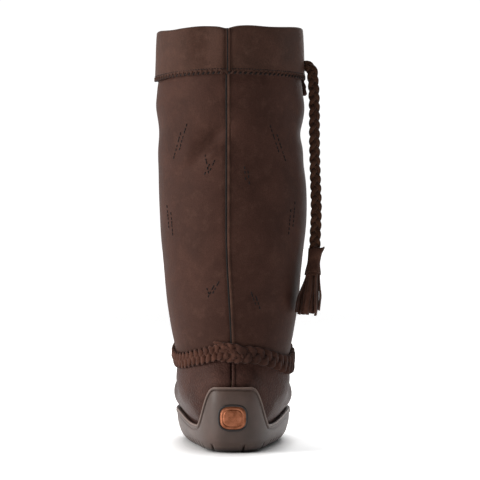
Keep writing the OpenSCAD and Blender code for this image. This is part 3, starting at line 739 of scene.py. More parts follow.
# ------------------------------------------------------------------ cuff
def cuff_section(rise, tooth):
    """Cross-section of the cuff, (distance outside the shaft, height): outside, over the rim, down inside."""
    top = RIM_Z + rise
    hem = HEM_Z + 2.2 * MM
    low = HEM_Z - 0.4 * MM + tooth
    inside = 1.35 * MM
    face = [
        (-0.1, low + 0.9 * MM), (0, hem + 2.2 * MM), (-0.2, mix(hem, top, 0.14)), (0, mix(hem, top, 0.26)),
        (0.2, mix(hem, top, 0.4)), (0.3, mix(hem, top, 0.55)), (0.3, mix(hem, top, 0.7)),
        (0.2, mix(hem, top, 0.84)), (0, top - 2.6 * MM), (-0.1, top - 1.2 * MM), (-0.9, top - 0.4 * MM),
        (-2.2, top),
    ]
    return [
        (inside, low + 0.2 * MM), (1.9 * MM, low), (2.75 * MM, low + 0.15 * MM),
        *((CUFF_OUT + out * MM, z) for out, z in face), (0.0, top),
        (-1.3 * MM, top - 0.3 * MM), (-1.9 * MM, top - 0.8 * MM), (-1.5 * MM, RIM_Z - 1.25 * MM),
        (0.2 * MM, RIM_Z - 1.35 * MM), (inside, RIM_Z - 2.2 * MM), (inside, mix(hem, RIM_Z, 0.5)),
    ]


def waves(turn, hills):
    """Sum of smooth hills round the boot, each (height, middle, half width in degrees)."""
    return sum(height * bell(turn - middle, wide) for height, middle, wide in hills)


RIM_WAVES = [(0.9, 23, 13), (1.3, -15, 13), (-0.9, 52, 16), (0.4, 88, 20), (3.3, -78, 36), (-1.7, 2, 5)]
CUFF_HILLS = [(2.4, 37, 13), (-2.4, 18, 9), (-0.9, 86, 30), (-0.8, -88, 26), (0.9, -26, 18), (-1.0, -52, 12),
              (0.8, -72, 12)]


def rim_rise(q):
    """Slow wave of the soft rim."""
    turn = signed(q)
    front = 0.8 * cos_d(3 * turn + 40) * smooth(110, 140, np.abs(turn))
    return (waves(turn, RIM_WAVES) + front) * MM


def hem_drop(q):
    """The hem's edge: higher behind, a little lower at the sides."""
    return (0.9 * bell(q, 35) - 2.4 * bell(q - 74, 26) - 0.4 * bell(q + 80, 30)) * MM


def cuff_puff(q, z):
    """Soft hills of the cuff, with a tuck into the seam and gathers over the drawstring."""
    turn = signed(q)
    hills = waves(turn, CUFF_HILLS) * smooth(HEM_Z, HEM_Z + 0.02, z)
    gather = 0.35 * np.sin(turn * 0.27) * smooth(80, 110, np.abs(turn))
    return (hills + gather) * MM


cuff_edge = 0.5
for side_name, side in SIDES.items():
    columns = np.linspace(0, 1, 520)
    mid_z = (HEM_Z + RIM_Z) / 2
    q_line = mix(float(back_q(mid_z)) + side * cuff_edge, side * (180 - cuff_edge), columns)
    arc = np.radians(q_line) * CUFF_R
    saw = np.abs((arc / TOOTH_PITCH) % 1 - 0.5) * 2
    rings = []
    for k, qk in enumerate(q_line):
        section = cuff_section(rim_rise(qk), TOOTH_H * saw[k] + hem_drop(qk))
        out_k = np.array([s[0] for s in section])
        z_k = np.array([s[1] for s in section])
        seam_shift = (back_q(z_k) - back_q(mid_z)) * (1 - smooth(0, 0.1, columns[k]))
        tuck = bell(columns[k] * 180, 3.2) + bell((1 - columns[k]) * 180, 3.2)
        over = np.where(out_k > 1.5 * MM, 1.0, 0.25)
        bulge = cuff_puff(qk, z_k) * over - 0.9 * MM * tuck * over
        rings.append(shaft_at(qk + seam_shift, z_k, out_k + slouch(qk, z_k) + bulge))
    add_mesh("cuff_fold_" + side_name, tube(np.array(rings)), CUFF_LEATHER, "cuff_" + side_name)


cuff_seam_z = np.linspace(HEM_Z + 3.4 * MM, RIM_Z - 1.6 * MM, 70)
cuff_q = back_q(cuff_seam_z)
# The second strip is near-black: painted shade in the groove beside the cuff's seam ridge.
for name, shift, out, half_w, half_t, material in (
    ("cuff_seam_ridge", -0.7, 0.1, 1.0, 0.8, SEAM_LEATHER),
    ("cuff_seam_groove_painted_shade", 0.55, -0.7, 0.8, 0.7, DARK_THREAD_AND_SHADE),
):
    puff = cuff_puff(cuff_q, cuff_seam_z)
    path = shaft_at(cuff_q + shift, cuff_seam_z, slouch(cuff_q, cuff_seam_z) + CUFF_OUT + puff + out * MM)
    face_out = points(sin_d(cuff_q), cos_d(cuff_q), 0.0)
    add_mesh(name, tube(sweep(path, half_w * MM, half_t * MM, face_out, 10)), material)


# Stitches: small bars of thread, half sunk in the leather
def stitches(name, spots, material):
    """spots: (middle, along, facing, length, half thickness) of each stitch."""
    parts = []
    for middle, along, facing, length, r in spots:
        s = np.array([-0.5, -0.46, -0.32, 0, 0.32, 0.46, 0.5])
        size = np.array([0.35, 0.75, 1.0, 1.0, 1.0, 0.75, 0.35])
        line = middle + s[:, None] * length * along + (0.35 * size[:, None] - 0.35) * r * facing
        parts.append(tube(sweep(line, r * size, r * 0.8 * size, facing, 8)))
    add_mesh(name, joined(parts), material)


def on_shaft(q, z, out=0.0):
    """A point on the slouched shaft, with its sideways, upward and outward directions."""
    p = shaft_at(q, z, slouch(q, z) + out)
    turn, climb = 0.3, 0.8 * MM
    du = unit(shaft_at(q + turn, z, slouch(q + turn, z) + out) - p)
    dz = unit(shaft_at(q, z + climb, slouch(q, z + climb) + out) - p)
    return p, du, dz, unit(np.cross(dz, du))


def round_hem(pitch, rise, back_gap, front_gap):
    """Angle and height of points one pitch apart round the cuff, clear of its two seams."""
    count = int(2 * math.pi * CUFF_R / pitch)
    q = np.arange(count) * 360 / count - 180
    clear = (np.abs(signed(q - float(back_q(HEM_Z)))) >= back_gap) & (np.abs(q) <= 180 - front_gap)
    return [(q_here, HEM_Z + rise + float(hem_drop(q_here))) for q_here in q[clear]]


hem_thread_and_shade_spots, lace_spots = [], []
for q, z in round_hem(STITCH_PITCH, 4.6 * MM, 1.2, 1.2):
    p, du, dz, facing = on_shaft(q, z, CUFF_OUT - 0.02 * MM)
    hem_thread_and_shade_spots.append((p, unit(du + 0.15 * dz), facing, 1.6 * MM, 0.45 * MM))
for q, z in round_hem(TOOTH_PITCH, 1.9 * MM, 1.6, 2.0):
    p, du, dz, facing = on_shaft(q, z, CUFF_OUT + 0.05 * MM)
    lace_spots.append((p, unit(0.8 * du - dz), facing, 4.4 * MM, 0.85 * MM))
    # Beside each lacing bar, a near-black bar set a little lower: painted shade beneath the hem's tooth and
    # its lacing.
    p, du, dz, facing = on_shaft(q + 1.9, z - 0.9 * MM, CUFF_OUT - 0.1 * MM)
    hem_thread_and_shade_spots.append((p, unit(0.8 * du - dz), facing, 2.7 * MM, 0.85 * MM))
stitches("hem_stitches_and_painted_shade", hem_thread_and_shade_spots, DARK_THREAD_AND_SHADE)
stitches("hem_lacing", lace_spots, CUFF_LEATHER)

# Rows of running stitch on the panels: middle (x, z), slope in degrees, length and gap between the two rows
MOTIFS = [
    (47.0, 286.0, -73, 27, 5.5), (22.5, 265.0, 78, 19, 0), (19.5, 262.0, -64, 13, 5.0),
    (16.0, 150.0, -62, 14, 4.0), (21.5, 148.5, 70, 9, 0), (57.5, 213.0, 84, 22, 5.0),
    (-43.0, 284.0, 72, 28, 5.5), (-14.0, 254.5, 84, 13, 4.5), (-56.0, 215.0, -86, 24, 5.0),
    (-22.0, 140.0, 70, 14, 4.5),
]
def shaft_angle(x, z, front):
    """Angle round the shaft of the point on its back or front at sideways place x."""
    share = (x - float(shaft_x(z))) / float(calf_mix(SHAFT_HALF_W, z))
    q = math.degrees(math.asin(max(-0.95, min(0.95, share))))
    return 180 - q if front else q


def stitch_row(x, z_mid, slope, length, apart, row, front):
    """Spots of one row of running stitch. row is -0.5 or 0.5 in a pair, and 0 alone."""
    run_x, run_z = math.cos(math.radians(slope)), math.sin(math.radians(slope))
    count = max(2, round(length / 4.0))
    spots = []
    for k in range(count):
        run = (k - (count - 1) / 2 + 0.22 * hash_wave(k, x)) * length / count + row * length * 0.3
        px = (x + run * run_x + row * apart * 0.65) * MM
        pz = (z_mid + run * run_z) * MM
        p, du, dz, facing = on_shaft(shaft_angle(px, pz, front), pz, 0.02 * MM)
        along = unit(du * (-run_x if front else run_x) + dz * run_z)
        spots.append((p, along, facing, 2.5 * MM, 0.62 * MM))
    return spots


motif_spots = []
for front in (False, True):
    for motif in MOTIFS:
        for row in ((-0.5, 0.5) if motif[-1] else (0,)):
            motif_spots += stitch_row(*motif, row, front)
stitches("shaft_stitches", motif_spots, DARK_THREAD_AND_SHADE)

# Drawstring band inside the cuff, and the knotted thong beside it
q_line = np.linspace(0, 360, 181)[:-1]
band_z = BAND_Z + 0 * q_line
band = shaft_at(q_line, band_z, slouch(signed(q_line), band_z) + 0.7 * MM)
band_skin = sweep(band, 3.5 * MM, 0.4 * MM, UP, 8, 3, ring=True)
add_mesh("drawstring_band", tube(band_skin, ring=True), SUEDE_DARK, "drawstring")

thong_low, thong_high = [corner[2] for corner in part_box("side_thong")]
thong_z = np.linspace(thong_high + 5 * MM, thong_low, 40)
swing = np.sin((thong_z - thong_low) / 0.0042)
thong_q = THONG_Q + 1.2 * np.sin((thong_z - thong_low) / 0.006)
lie = slouch(thong_q, thong_z) + 1.6 * MM + 0.5 * MM * swing
lie = lie + 1.6 * MM * smooth(thong_high - 4 * MM, thong_high + 8 * MM, thong_z)
thong_path = shaft_at(thong_q, thong_z, lie)
low_knot, high_knot = mix(thong_low, thong_high, 0.18), mix(thong_low, thong_high, 0.62)
knots = 1 + 0.75 * bell(thong_z - low_knot, 2.6 * MM) + 0.6 * bell(thong_z - high_knot, 2.4 * MM)
thong_parts = [tube(sweep(thong_path, 1.7 * MM * knots, 1.35 * MM * knots, (0, 1.0, 0), 12, 2.3))]
for knot_z in (low_knot, high_knot):
    centre = shaft_at(THONG_Q, knot_z, float(slouch(THONG_Q, knot_z)) + 1.9 * MM)
    a = full_turn(24)
    loop = centre + points(1.9 * MM * np.cos(a), 2.6 * MM * np.sin(a), 1.2 * MM * np.sin(a + 0.8))
    thong_parts.append(tube(sweep(loop, 1.15 * MM, 0.9 * MM, UP, 10, ring=True), ring=True))
add_mesh("side_thong_knots", joined(thong_parts), SUEDE_DARK, "side_thong")


# ------------------------------------------------------------------ foot
def crumple(p, v, r):
    """Small soft creases of the foot's leather, most where it flexes at the ball."""
    flex = bell(v - 0.6, 0.13) * smooth(1.1, 1.5, r)
    heel = smooth(0.3, 0.05, v) * smooth(1.0, 1.4, r)
    creases = np.sin(p[..., 1] / 0.0028 + 2.2 * grain(p, 0.02, 5.0, 2))
    soft = grain(p, 0.03, 7.0, 3)
    soft = 0.5 * soft * smooth(1.0, 1.3, r) * smooth(2.0, 1.85, r)
    return (0.45 * flex * creases + soft - 0.5 * heel * bell(r - 1.5, 0.2)) * MM


def around_foot(n):
    """Stations once round the foot: distances v and sides, closest at the heel and the apron's corner."""
    u = np.linspace(0, 1, n)
    stations = [SEAM_V, 0.02, 0.25, CORNER_V, CORNER_V + 0.1, 0.93, 1.0]
    v = np.interp(u, [0, 0.04, 0.3, 0.42, 0.58, 0.9, 1], stations)
    return np.concatenate([v, v[-2::-1]]), np.concatenate([np.full(n, MEDIAL), np.full(n - 1, LATERAL)])


def foot_grid(n, rows):
    """Grids of distance v, side and height r for foot_at: stations round the foot against rows up it."""
    v, side = around_foot(n)
    v_grid, r_grid = grid(v, rows)
    return v_grid, np.broadcast_to(side[:, None], v_grid.shape), r_grid


v_grid, side_grid, r_grid = foot_grid(120, np.concatenate([[0.75], np.linspace(0.94, 2.0, 46)]))
wrap_out = foot_at(v_grid, side_grid, r_grid, 0.0)
wrap_in = foot_at(v_grid, side_grid, r_grid, LEATHER)
face_out = unit(wrap_out - wrap_in)
bulge = crumple(wrap_out, v_grid, r_grid)[..., None]
# The upper edge is turned under where the apron's gathers meet it
gathers = smooth(CORNER_V + 0.02, CORNER_V + 0.12, v_grid) * smooth(1.72, 1.97, r_grid)
edge_run = np.cumsum(np.linalg.norm(np.gradient(wrap_out[:, -1], axis=0), axis=1))
pucker = 0.45 * MM * gathers * np.sin(edge_run / 0.00075)[:, None]
back_tuck = -0.9 * MM * bell(v_grid, 0.005) * (side_grid == MEDIAL)
wrap_out = wrap_out + face_out * (bulge + pucker[..., None] + back_tuck[..., None])
wrap_in = wrap_in + face_out * (bulge + back_tuck[..., None])
add_mesh("foot_wrap_skin", skin(wrap_out, wrap_in), FOOT_LEATHER, "foot_wrap")

# Raised seam up the middle of the heel
ridge_r = np.linspace(0.98, 1.97, 90)
ridge_mid = foot_at(0 * ridge_r, MEDIAL, ridge_r, -0.05 * MM)
ridge_mid[:, 0] -= 0.55 * MM
ridge_mid[:, 1] += 0.1 * MM * np.sin(ridge_r * 90)
ridge_rings = sweep(ridge_mid, 1.5 * MM, 0.85 * MM, (1.0, 0, 0), 12, 2.3)
add_mesh("heel_seam_ridge", tube(ridge_rings), FOOT_LEATHER, "heel_welt")


def inside_seam(v, side, depth):
    return top_edge(v, side, depth) - 0.75 * MM * outwards(v, side)


def apron_at(t, c, depth):
    """The moccasin's plug: a sheet stretched between the ankle seam and the wrap's edge."""
    v = mix(CORNER_V, 1.0, t)
    across = ((c + 1) / 2)[..., None]
    left, right = inside_seam(v, LATERAL, depth), inside_seam(v, MEDIAL, depth)
    q = 180 - c * (180 - CORNER_Q)
    ankle = shaft_at(q, ankle_z(q) - 0.25 * MM, -depth) - 0.6 * MM * points(sin_d(q), cos_d(q), 0.0)
    corner = np.full_like(t, CORNER_V)
    chord = mix(inside_seam(corner, LATERAL, depth), inside_seam(corner, MEDIAL, depth), across)
    crown = APRON_CROWN * (1 - c * c) * 4 * t * (1 - t)
    return mix(left, right, across) + (1 - t)[..., None] * (ankle - chord) + points(0.0, 0.0, crown)


t, c = grid(np.linspace(0, 0.999, 90), np.linspace(-1, 1, 81))
apron_out, apron_in = apron_at(t, c, 0.0), apron_at(t, c, LEATHER)
edge_share = smooth(0.62, 0.98, np.abs(c)) + smooth(0.86, 0.99, t)
run = np.where(np.abs(c) > t * 0.98, t * 190, (c + 1) * 60)
gather = 0.55 * MM * np.clip(edge_share, 0, 1) * np.sin(run / 2.4 * math.pi)
flex = 0.5 * MM * np.sin(apron_out[..., 1] / 0.0036 + 1.5 * grain(apron_out, 0.03, 2.0, 2))
flex = flex * bell(t - 0.32, 0.2) * (1 - c * c)
soft = 0.6 * MM * grain(apron_out, 0.035, 9.0, 3) * (1 - np.abs(c)) * smooth(1, 0.9, t)
lift = (gather + flex + soft)[..., None] * UP
add_mesh("apron_sheet", skin(apron_out + lift, apron_in + lift), FOOT_LEATHER, "apron")

# Rolled seam cord over the joint, whipped with thread
cord_v = np.linspace(CORNER_V + 0.03, 1.0, 130)
cord_sides = top_edge(cord_v, MEDIAL, -2.0 * MM), top_edge(cord_v[-2::-1], LATERAL, -2.0 * MM)
cord_line = np.concatenate(cord_sides)
cord_line, cord_run = resampled(cord_line, 1.0 * MM)
swell = 1 + 0.1 * np.sin(cord_run / 4.2e-3 * 2 * math.pi)
cord_r = 1.55 * MM * swell
add_mesh("apron_seam_cord", tube(sweep(cord_line, cord_r, cord_r, UP, 12)), SEAM_LEATHER, "apron_cord")
cord_along = unit(np.gradient(cord_line, axis=0))
whip_parts = []
for k in range(4, len(cord_line) - 4, 4):
    axis = cord_along[k]
    side_dir = unit(np.cross(axis, UP))
    top_dir = unit(np.cross(side_dir, axis))
    a = np.linspace(math.radians(-25), math.radians(205), 15)
    slant = (a / math.pi - 0.5)[:, None] * 1.6 * MM * axis
    loop = cord_line[k] + 1.75 * MM * (np.cos(a)[:, None] * side_dir + np.sin(a)[:, None] * top_dir) + slant
    whip_parts.append(tube(sweep(loop, 0.42 * MM, 0.42 * MM, axis, 6)))
add_mesh("apron_whip_stitches", joined(whip_parts), THREAD)


# ------------------------------------------------------------------ ankle braid
def braid_line(q):
    """The angle q from -180 to 180, and the middle of the braid's height there."""
    turn = signed(q)
    z = ankle_z(turn) + 9.5 * MM * smooth(50, 130, np.abs(turn))
    return turn, z


q_from, q_to = -9.0, 374.0
braid_q = np.linspace(q_from, q_to, 760)
turn, base_z = braid_line(braid_q)
lateral_share = smooth(-0.25, 0.25, -sin_d(turn))
pitch = mix(17.5, 25.5, lateral_share) * MM
arc = np.concatenate([[0], np.cumsum(np.diff(np.radians(braid_q)) * 58 * MM / pitch[1:])]) * 2 * math.pi
start_end = smooth(32, 4, braid_q)            # the end that lies on top, at the back
last_end = smooth(340, 372, braid_q)          # the end that runs under it
taper = 1 - 0.42 * smooth(2, -9, braid_q) - 0.5 * smooth(352, 374, braid_q)
sag = bell(turn + 82, 42)
mid_z = base_z + (2.2 * start_end - 2.4 * last_end - 4.6 * sag) * MM
mid_out = (mix(1.9, 3.1, lateral_share) + 1.7 * start_end - 0.5 * last_end) * MM
spread = (mix(4.7, 4.5, lateral_share) + 0.9 * sag) * taper * MM
strand_w = mix(3.0, 3.7, lateral_share) * (0.75 + 0.25 * taper) * MM
strand_t = mix(1.3, 1.7, lateral_share) * (0.8 + 0.2 * taper) * MM
bob = mix(1.3, 1.6, lateral_share) * MM
parts, shade = [], []
for k in range(3):
    a = arc + k * 2 * math.pi / 3
    dz = spread * (0.6 * np.sin(a) + 0.4 * np.arcsin(np.sin(a)) * 2 / math.pi) * 1.1
    out = mid_out + bob * np.sin(2 * a)
    z = mid_z + dz
    low_z = np.maximum(z, ankle_z(turn))
    below = np.maximum(0, base_z - z) * mix(0.3, 0.05, smooth(20, 80, np.abs(turn)))
    strand = shaft_at(turn, low_z, out + below)
    strand[:, 2] = z
    cover = sweep(strand, strand_w * (1 + 0.1 * np.cos(2 * a)), strand_t, UP, 12, 2.6)
    parts.append(tube(cover))
    shade.append(np.repeat(lateral_share + 0.25 * np.sin(a * 0.5 + k), cover.shape[1]))
braid_shape = joined(parts)


def two_tone_suede(name):
    """Braid suede: reddish on the medial half and darker on the lateral half."""
    m = Nodes(name, 0.9, specular=0.1, sheen=0.08, sheen_rough=0.45, tint=(0.8, 0.6, 0.5, 1))
    share = m.attribute("shade")
    fine = m.noise(0.7 * MM, 4, 0.75)
    broad = m.noise(6 * MM, 4, 0.6)
    light = m.ramp(broad, 0.35, 0.68, (60, 37, 30), (84, 55, 45))
    dark = m.ramp(broad, 0.35, 0.68, (42, 27, 23), (62, 41, 35))
    colour = m.blend(share, light, dark)
    colour = m.ramp(fine, 0.5, 0.75, colour, (106, 74, 62), 0.35)
    return m.finish(colour, m.span(fine, 0.3, 0.7, 0.8, 0.95), [
        (broad, 0.15, 0.5 * MM), (fine, 0.5, 0.35 * MM)])


def paint(obj, shades):
    """Gives each vertex its shade, from 0 reddish to 1 dark."""
    tone = obj.data.attributes.new("shade", "FLOAT", "POINT")
    tone.data.foreach_set("value", np.clip(shades, 0, 1).astype(np.float32))


BRAID_SUEDE = two_tone_suede("ankle_suede")
braid = add_mesh("ankle_braid_strands", braid_shape, BRAID_SUEDE, "ankle_braid")
paint(braid, np.concatenate(shade))

# Loose strand ends at the join: five cut tails that lie over the braid
tail_parts = []
for q0, q1, z0, z1, out0, out1, w in (
    (-6, 18, 6.2, 10.6, 4.6, 2.2, 1.7), (-3, 14, 3.0, 8.4, 6.0, 4.4, 1.5), (-9, 12, -1.6, 3.4, 5.6, 6.2, 1.9),
    (6, 22, 8.6, 6.0, 3.0, 4.6, 1.3), (-10, 4, -3.4, -7.0, 4.6, 3.4, 2.0),
):
    s = np.linspace(0, 1, 24)
    tq = mix(q0, q1, s)
    tz = ankle_z(tq) + (mix(z0, z1, smooth(0, 1, s)) + 0.5 * np.sin(s * 7 + q0)) * MM
    line = shaft_at(tq, np.maximum(tz, ankle_z(tq)), (mix(out0, out1, s) + 0.5 * np.sin(s * 6)) * MM)
    line[:, 2] = tz
    end = np.minimum(1, np.minimum(s, 1 - s) * 7 + 0.35)
    tail_parts.append(tube(sweep(line, w * end * MM, 1.15 * MM * np.sqrt(end), UP, 10, 2.6)))
tails = add_mesh("braid_loose_ends", joined(tail_parts), BRAID_SUEDE, "braid_tail")
paint(tails, np.full(len(tails.data.vertices), 0.35))


# ------------------------------------------------------------------ sole
def around_sole(n):
    u = np.linspace(0, 1, n)
    v = mix(u, 0.5 - 0.5 * np.cos(math.pi * u), 0.85)
    v = mix(v, v ** 1.25, 0.5)
    return np.concatenate([v, v[-2:0:-1]]), np.concatenate([np.full(n, MEDIAL), np.full(n - 2, LATERAL)])


def ring_solid(rings):
    """Solid through level rings, listed from its bottom up its outside."""
    verts, faces = tube(np.array(rings))
    return verts, [tuple(reversed(f)) for f in faces]


def wall_slant(v):
    """How much the rim's height changes along the outline: lips there are drawn thicker to stay even."""
    step = 0.003
    low, high = np.clip(v - step, 0, 1), np.clip(v + step, 0, 1)
    rise = wall_z(high) - wall_z(low)
    run_length = np.linalg.norm(outline(high, MEDIAL, 0.0) - outline(low, MEDIAL, 0.0), axis=-1)
    return np.minimum(np.sqrt(1 + (rise / np.maximum(run_length, 1e-6)) ** 2), 1.9)


sole_v, sole_side = around_sole(190)
wall = wall_z(sole_v)
lip = mix(1.9, 4.0, smooth(0.12, 0.3, sole_v)) * MM * wall_slant(sole_v)
groove = mix(1.0, 1.3, smooth(0.12, 0.3, sole_v)) * MM * wall_slant(sole_v)
low_wall = wall - lip - groove
lean = smooth(0.12, 0.35, sole_v)     # forward of the heel the wall slants in toward the ground
# Cross-section of the cup, (inset in mm, height): underside, wall, groove, lip, over the edge, down inside
tread_z = 10.4 * MM
section = [
    (10.0 + 3 * lean, 4.4 * MM), (7.6 + 2.6 * lean, 4.9 * MM), (5.0 + 2.2 * lean, 6.4 * MM),
    (2.5 + 1.8 * lean, 8.4 * MM), (1.5 + 1.9 * lean, tread_z),
    (0.7 + 1.6 * lean, mix(tread_z, low_wall, 0.22)), (0.15 + 1.2 * lean, mix(tread_z, low_wall, 0.45)),
    (-0.05 + 0.7 * lean, mix(tread_z, low_wall, 0.7)), (-0.05 + 0.4 * lean, low_wall - 0.7 * MM),
    (0.15 + 0.3 * lean, low_wall - 0.15 * MM),
    (0.85, low_wall + groove * 0.3), (0.95, low_wall + groove * 0.6), (0.2, low_wall + groove),
    (-0.55, low_wall + groove + lip * 0.2), (-0.75, low_wall + groove + lip * 0.45),
    (-0.5, low_wall + groove + lip * 0.72), (0.1, wall - lip * 0.1), (1.0, wall), (2.2, wall + 0.05 * MM),
    (3.3, wall - 0.15 * MM), (3.95, wall - 0.8 * MM), (4.0, 0.5 * (wall + CUP_FLOOR_Z)), (4.0, CUP_FLOOR_Z),
]
cup_rings = [outline(sole_v, sole_side, inset * MM) + points(0.0, 0.0, z) for inset, z in section]
sole_parts = [ring_solid(cup_rings)]

# Lugs round the edge: flush with the wall above, with dark gaps between them
dense_v, dense_side = around_sole(900)
dense = outline(dense_v, dense_side, 0.0)
dense_steps = np.linalg.norm(np.roll(dense, -1, axis=0) - dense, axis=1)
dense_run = np.concatenate([[0], np.cumsum(dense_steps)])
whole = dense_run[-1]
# Cross-section of a lug in mm: inset, height, and how much further in it is forward of the heel
LUG_SECTION = [(1.5, 10.5, 1.9), (2.55, 8.3, 1.8), (3.8, 5.8, 2.2), (5.0, 3.4, 3.0), (6.6, 1.9, 3.2),
               (9.5, 1.1, 3.4), (19, 0.0, 2), (20, 1.2, 2), (20, 4.6, 2), (9, 6.0, 3)]
LUG_GAP = 2.1 * MM


def at_run(s, inset):
    s = np.asarray(s) % whole
    v = np.interp(s, dense_run[:-1], dense_v, period=whole)
    k = np.searchsorted(dense_run, s, side="right") - 1
    return outline(v, dense_side[np.minimum(k, len(dense_side) - 1)], inset)


def run_at_heel(x):
    """Distance along the outline of a point of the heel at sideways place x."""
    heel = np.where(dense[:, 1] > 0.1)[0]
    k = heel[np.argmin(np.abs(dense[heel, 0] - x))]
    return dense_run[k]


cuts = [run_at_heel(x * MM) for x in (19.0, 29.5)]
cuts += list(np.arange(cuts[-1] + 13.5 * MM, whole - run_at_heel(0.0) - 66 * MM, 15.5 * MM))
cuts += [run_at_heel(x * MM) for x in (-32.5, -12.5)]
cuts = sorted(cuts)
cuts.append(cuts[0] + whole)
for cut, next_cut in zip(cuts, cuts[1:]):
    s0, s1 = cut + LUG_GAP / 2, next_cut - LUG_GAP / 2
    s = np.linspace(s0, s1, 12)
    ends = np.minimum(1, np.minimum(s - s0, s1 - s) / (1.2 * MM))
    rows_out = []
    forward = smooth(0.12, 0.35, np.interp(s % whole, dense_run[:-1], dense_v, period=whole))
    for j, (inset, z, slant) in enumerate(LUG_SECTION):
        squeeze = (1 - ends) * 0.5 * (1 if j in (3, 4, 5) else 0.3)
        p = at_run(s, (inset + forward * slant + squeeze) * MM)
        p[:, 2] = (z + (0.3 * (1 - ends) if z < 0.5 else 0)) * MM
        rows_out.append(p)
    sole_parts.append(tube(np.stack(rows_out, axis=1)))

# Tread inside the edge: slanted bars in two halves
BAR_HALF, BAR_SLANT = 5.5, 5 * MM
for y in (-100, -80, -60, -40, 54, 72, 90):
    for side in (MEDIAL, LATERAL):
        v_y = math.degrees(math.acos(max(-1, min(1, y * MM / HALF_L)))) / 180
        reach = float(outline(np.array(v_y), side, 23.5 * MM)[0]) * side
        if reach < 12 * MM:
            continue
        bars = []
        for z, grow_in in ((4.6, 0.0), (1.0, 0.3), (0.0, 1.2)):
            x0, x1 = side * (3.0 + grow_in) * MM, side * (reach - grow_in * MM)
            y0, y1 = (y - BAR_HALF + grow_in) * MM, (y + BAR_HALF - grow_in) * MM
            corners = [(x0, y0 + BAR_SLANT), (x1, y0 - BAR_SLANT), (x1, y1 - BAR_SLANT), (x0, y1 + BAR_SLANT)]
            bars.append([(*corner, z * MM) for corner in corners])
        sole_parts.append(tube(np.array(bars)))
add_mesh("sole_cup", joined(sole_parts), SOLE_RUBBER, "outsole")

# Rim along the cup's top edge in the lighter rubber: a painted highlight on the lip.
lip_v, lip_side = around_sole(240)
lip_path = outline(lip_v, lip_side, 0.35 * MM) + points(0.0, 0.0, wall_z(lip_v) - 0.35 * MM)
lip_rings = sweep(lip_path, 1.0 * MM, 0.95 * MM, UP, 10, ring=True)
add_mesh("sole_lip", tube(lip_rings, ring=True), LIP_RUBBER_PAINTED_HIGHLIGHT)

# Plain copper badge in a dark rim on the heel
heel_x, heel_y = dense[:, 0], dense[:, 1]
order = np.argsort(heel_x[heel_y > 0.1])
heel_line = (heel_x[heel_y > 0.1][order], heel_y[heel_y > 0.1][order])
badge_mid = Vector(((BADGE_LOW.x + BADGE_HIGH.x) / 2, 0, (BADGE_LOW.z + BADGE_HIGH.z) / 2))


def badge_at(ang, rho, half_w, half_h, proud):
    corner = 2 / 2.9
    x = badge_mid.x + half_w * rho * np.sign(np.cos(ang)) * np.abs(np.cos(ang)) ** corner
    z = badge_mid.z + half_h * rho * np.sign(np.sin(ang)) * np.abs(np.sin(ang)) ** corner
    return points(x, np.interp(x, *heel_line) + proud, z)


rho, ang = grid(np.linspace(1, 0.02, 40), full_turn(96))
dome = (0.75 * (1 - rho ** 5) - 0.38 * bell(rho - 0.72, 0.045) + 0.15 * bell(rho - 0.82, 0.05)) * MM
face = badge_at(ang, rho, 12.3 * MM, 10.8 * MM, dome + 0.05 * MM)
rows, columns = face.shape[:2]
faces = quads(rows, columns, wrap_m=True) + [tuple((rows - 1) * columns + j for j in range(columns))]
add_mesh("badge_face", (face.reshape(-1, 3), faces), COPPER, "heel_badge")
ang = full_turn(120)
rim_path = badge_at(ang, 1.0 + 0 * ang, 12.9 * MM, 11.4 * MM, 0.35 * MM)
rim_rings = sweep(rim_path, 0.75 * MM, 1.0 * MM, (0, 1.0, 0), 12, ring=True)
add_mesh("badge_edge", tube(rim_rings, ring=True), BADGE_RIM, "heel_badge_rim")


# ------------------------------------------------------------------ linings and footbed
def curls(p, height, size=0.0042):
    """Tight sheared curls: how far the pile stands out at each point."""
    return height * (0.55 * grain(p, size, 11.0, 2) + 0.35 * grain(p, size * 0.45, 4.0, 2))


q_line = np.linspace(0, 360, 300)[:-1]
z_line = np.linspace(0.0, 1.0, 190)
q, share = grid(q_line, z_line)
turn = signed(q)
z = mix(ankle_z(turn) + 0.5 * MM, SHAFT_TOP - 1.2 * MM, share)
shape = slouch(turn, z)
face_out = shaft_at(turn, z, shape - 2.1 * MM)
pile_at = shaft_at(turn, z, shape - 6.9 * MM)
tufts = shaft_at(turn, z, shape - 6.9 * MM - curls(pile_at, 1.5 * MM))
add_mesh("shaft_fleece", skin(tufts, face_out, ring=True), FLEECE, "shaft_lining")

v_grid, side_grid, r_grid = foot_grid(90, np.linspace(0.02, 2.0, 70))
lining_out = foot_at(v_grid, side_grid, r_grid, 3.3 * MM, 22.4 * MM)
lining_in = foot_at(v_grid, side_grid, r_grid, 7.2 * MM, 22.4 * MM)
toward = unit(lining_in - lining_out)
edges = smooth(2.0, 1.9, r_grid) * smooth(0, 0.15, r_grid)
lining_in = lining_in + toward * (curls(lining_in, 1.1 * MM) * edges)[..., None]
add_mesh("foot_fleece", skin(lining_in, lining_out), FLEECE, "foot_lining")

t, c = grid(np.linspace(0, 0.97, 70), np.linspace(-0.97, 0.97, 60))
plug_out, plug_in = apron_at(t, c, 3.3 * MM), apron_at(t, c, 7.2 * MM)
edges = smooth(1, 0.9, np.abs(c)) * smooth(0.97, 0.9, t)
plug_in = plug_in - UP * (curls(plug_in, 1.1 * MM) * edges)[..., None]
add_mesh("apron_fleece", skin(plug_out, plug_in), FLEECE, "apron_lining")


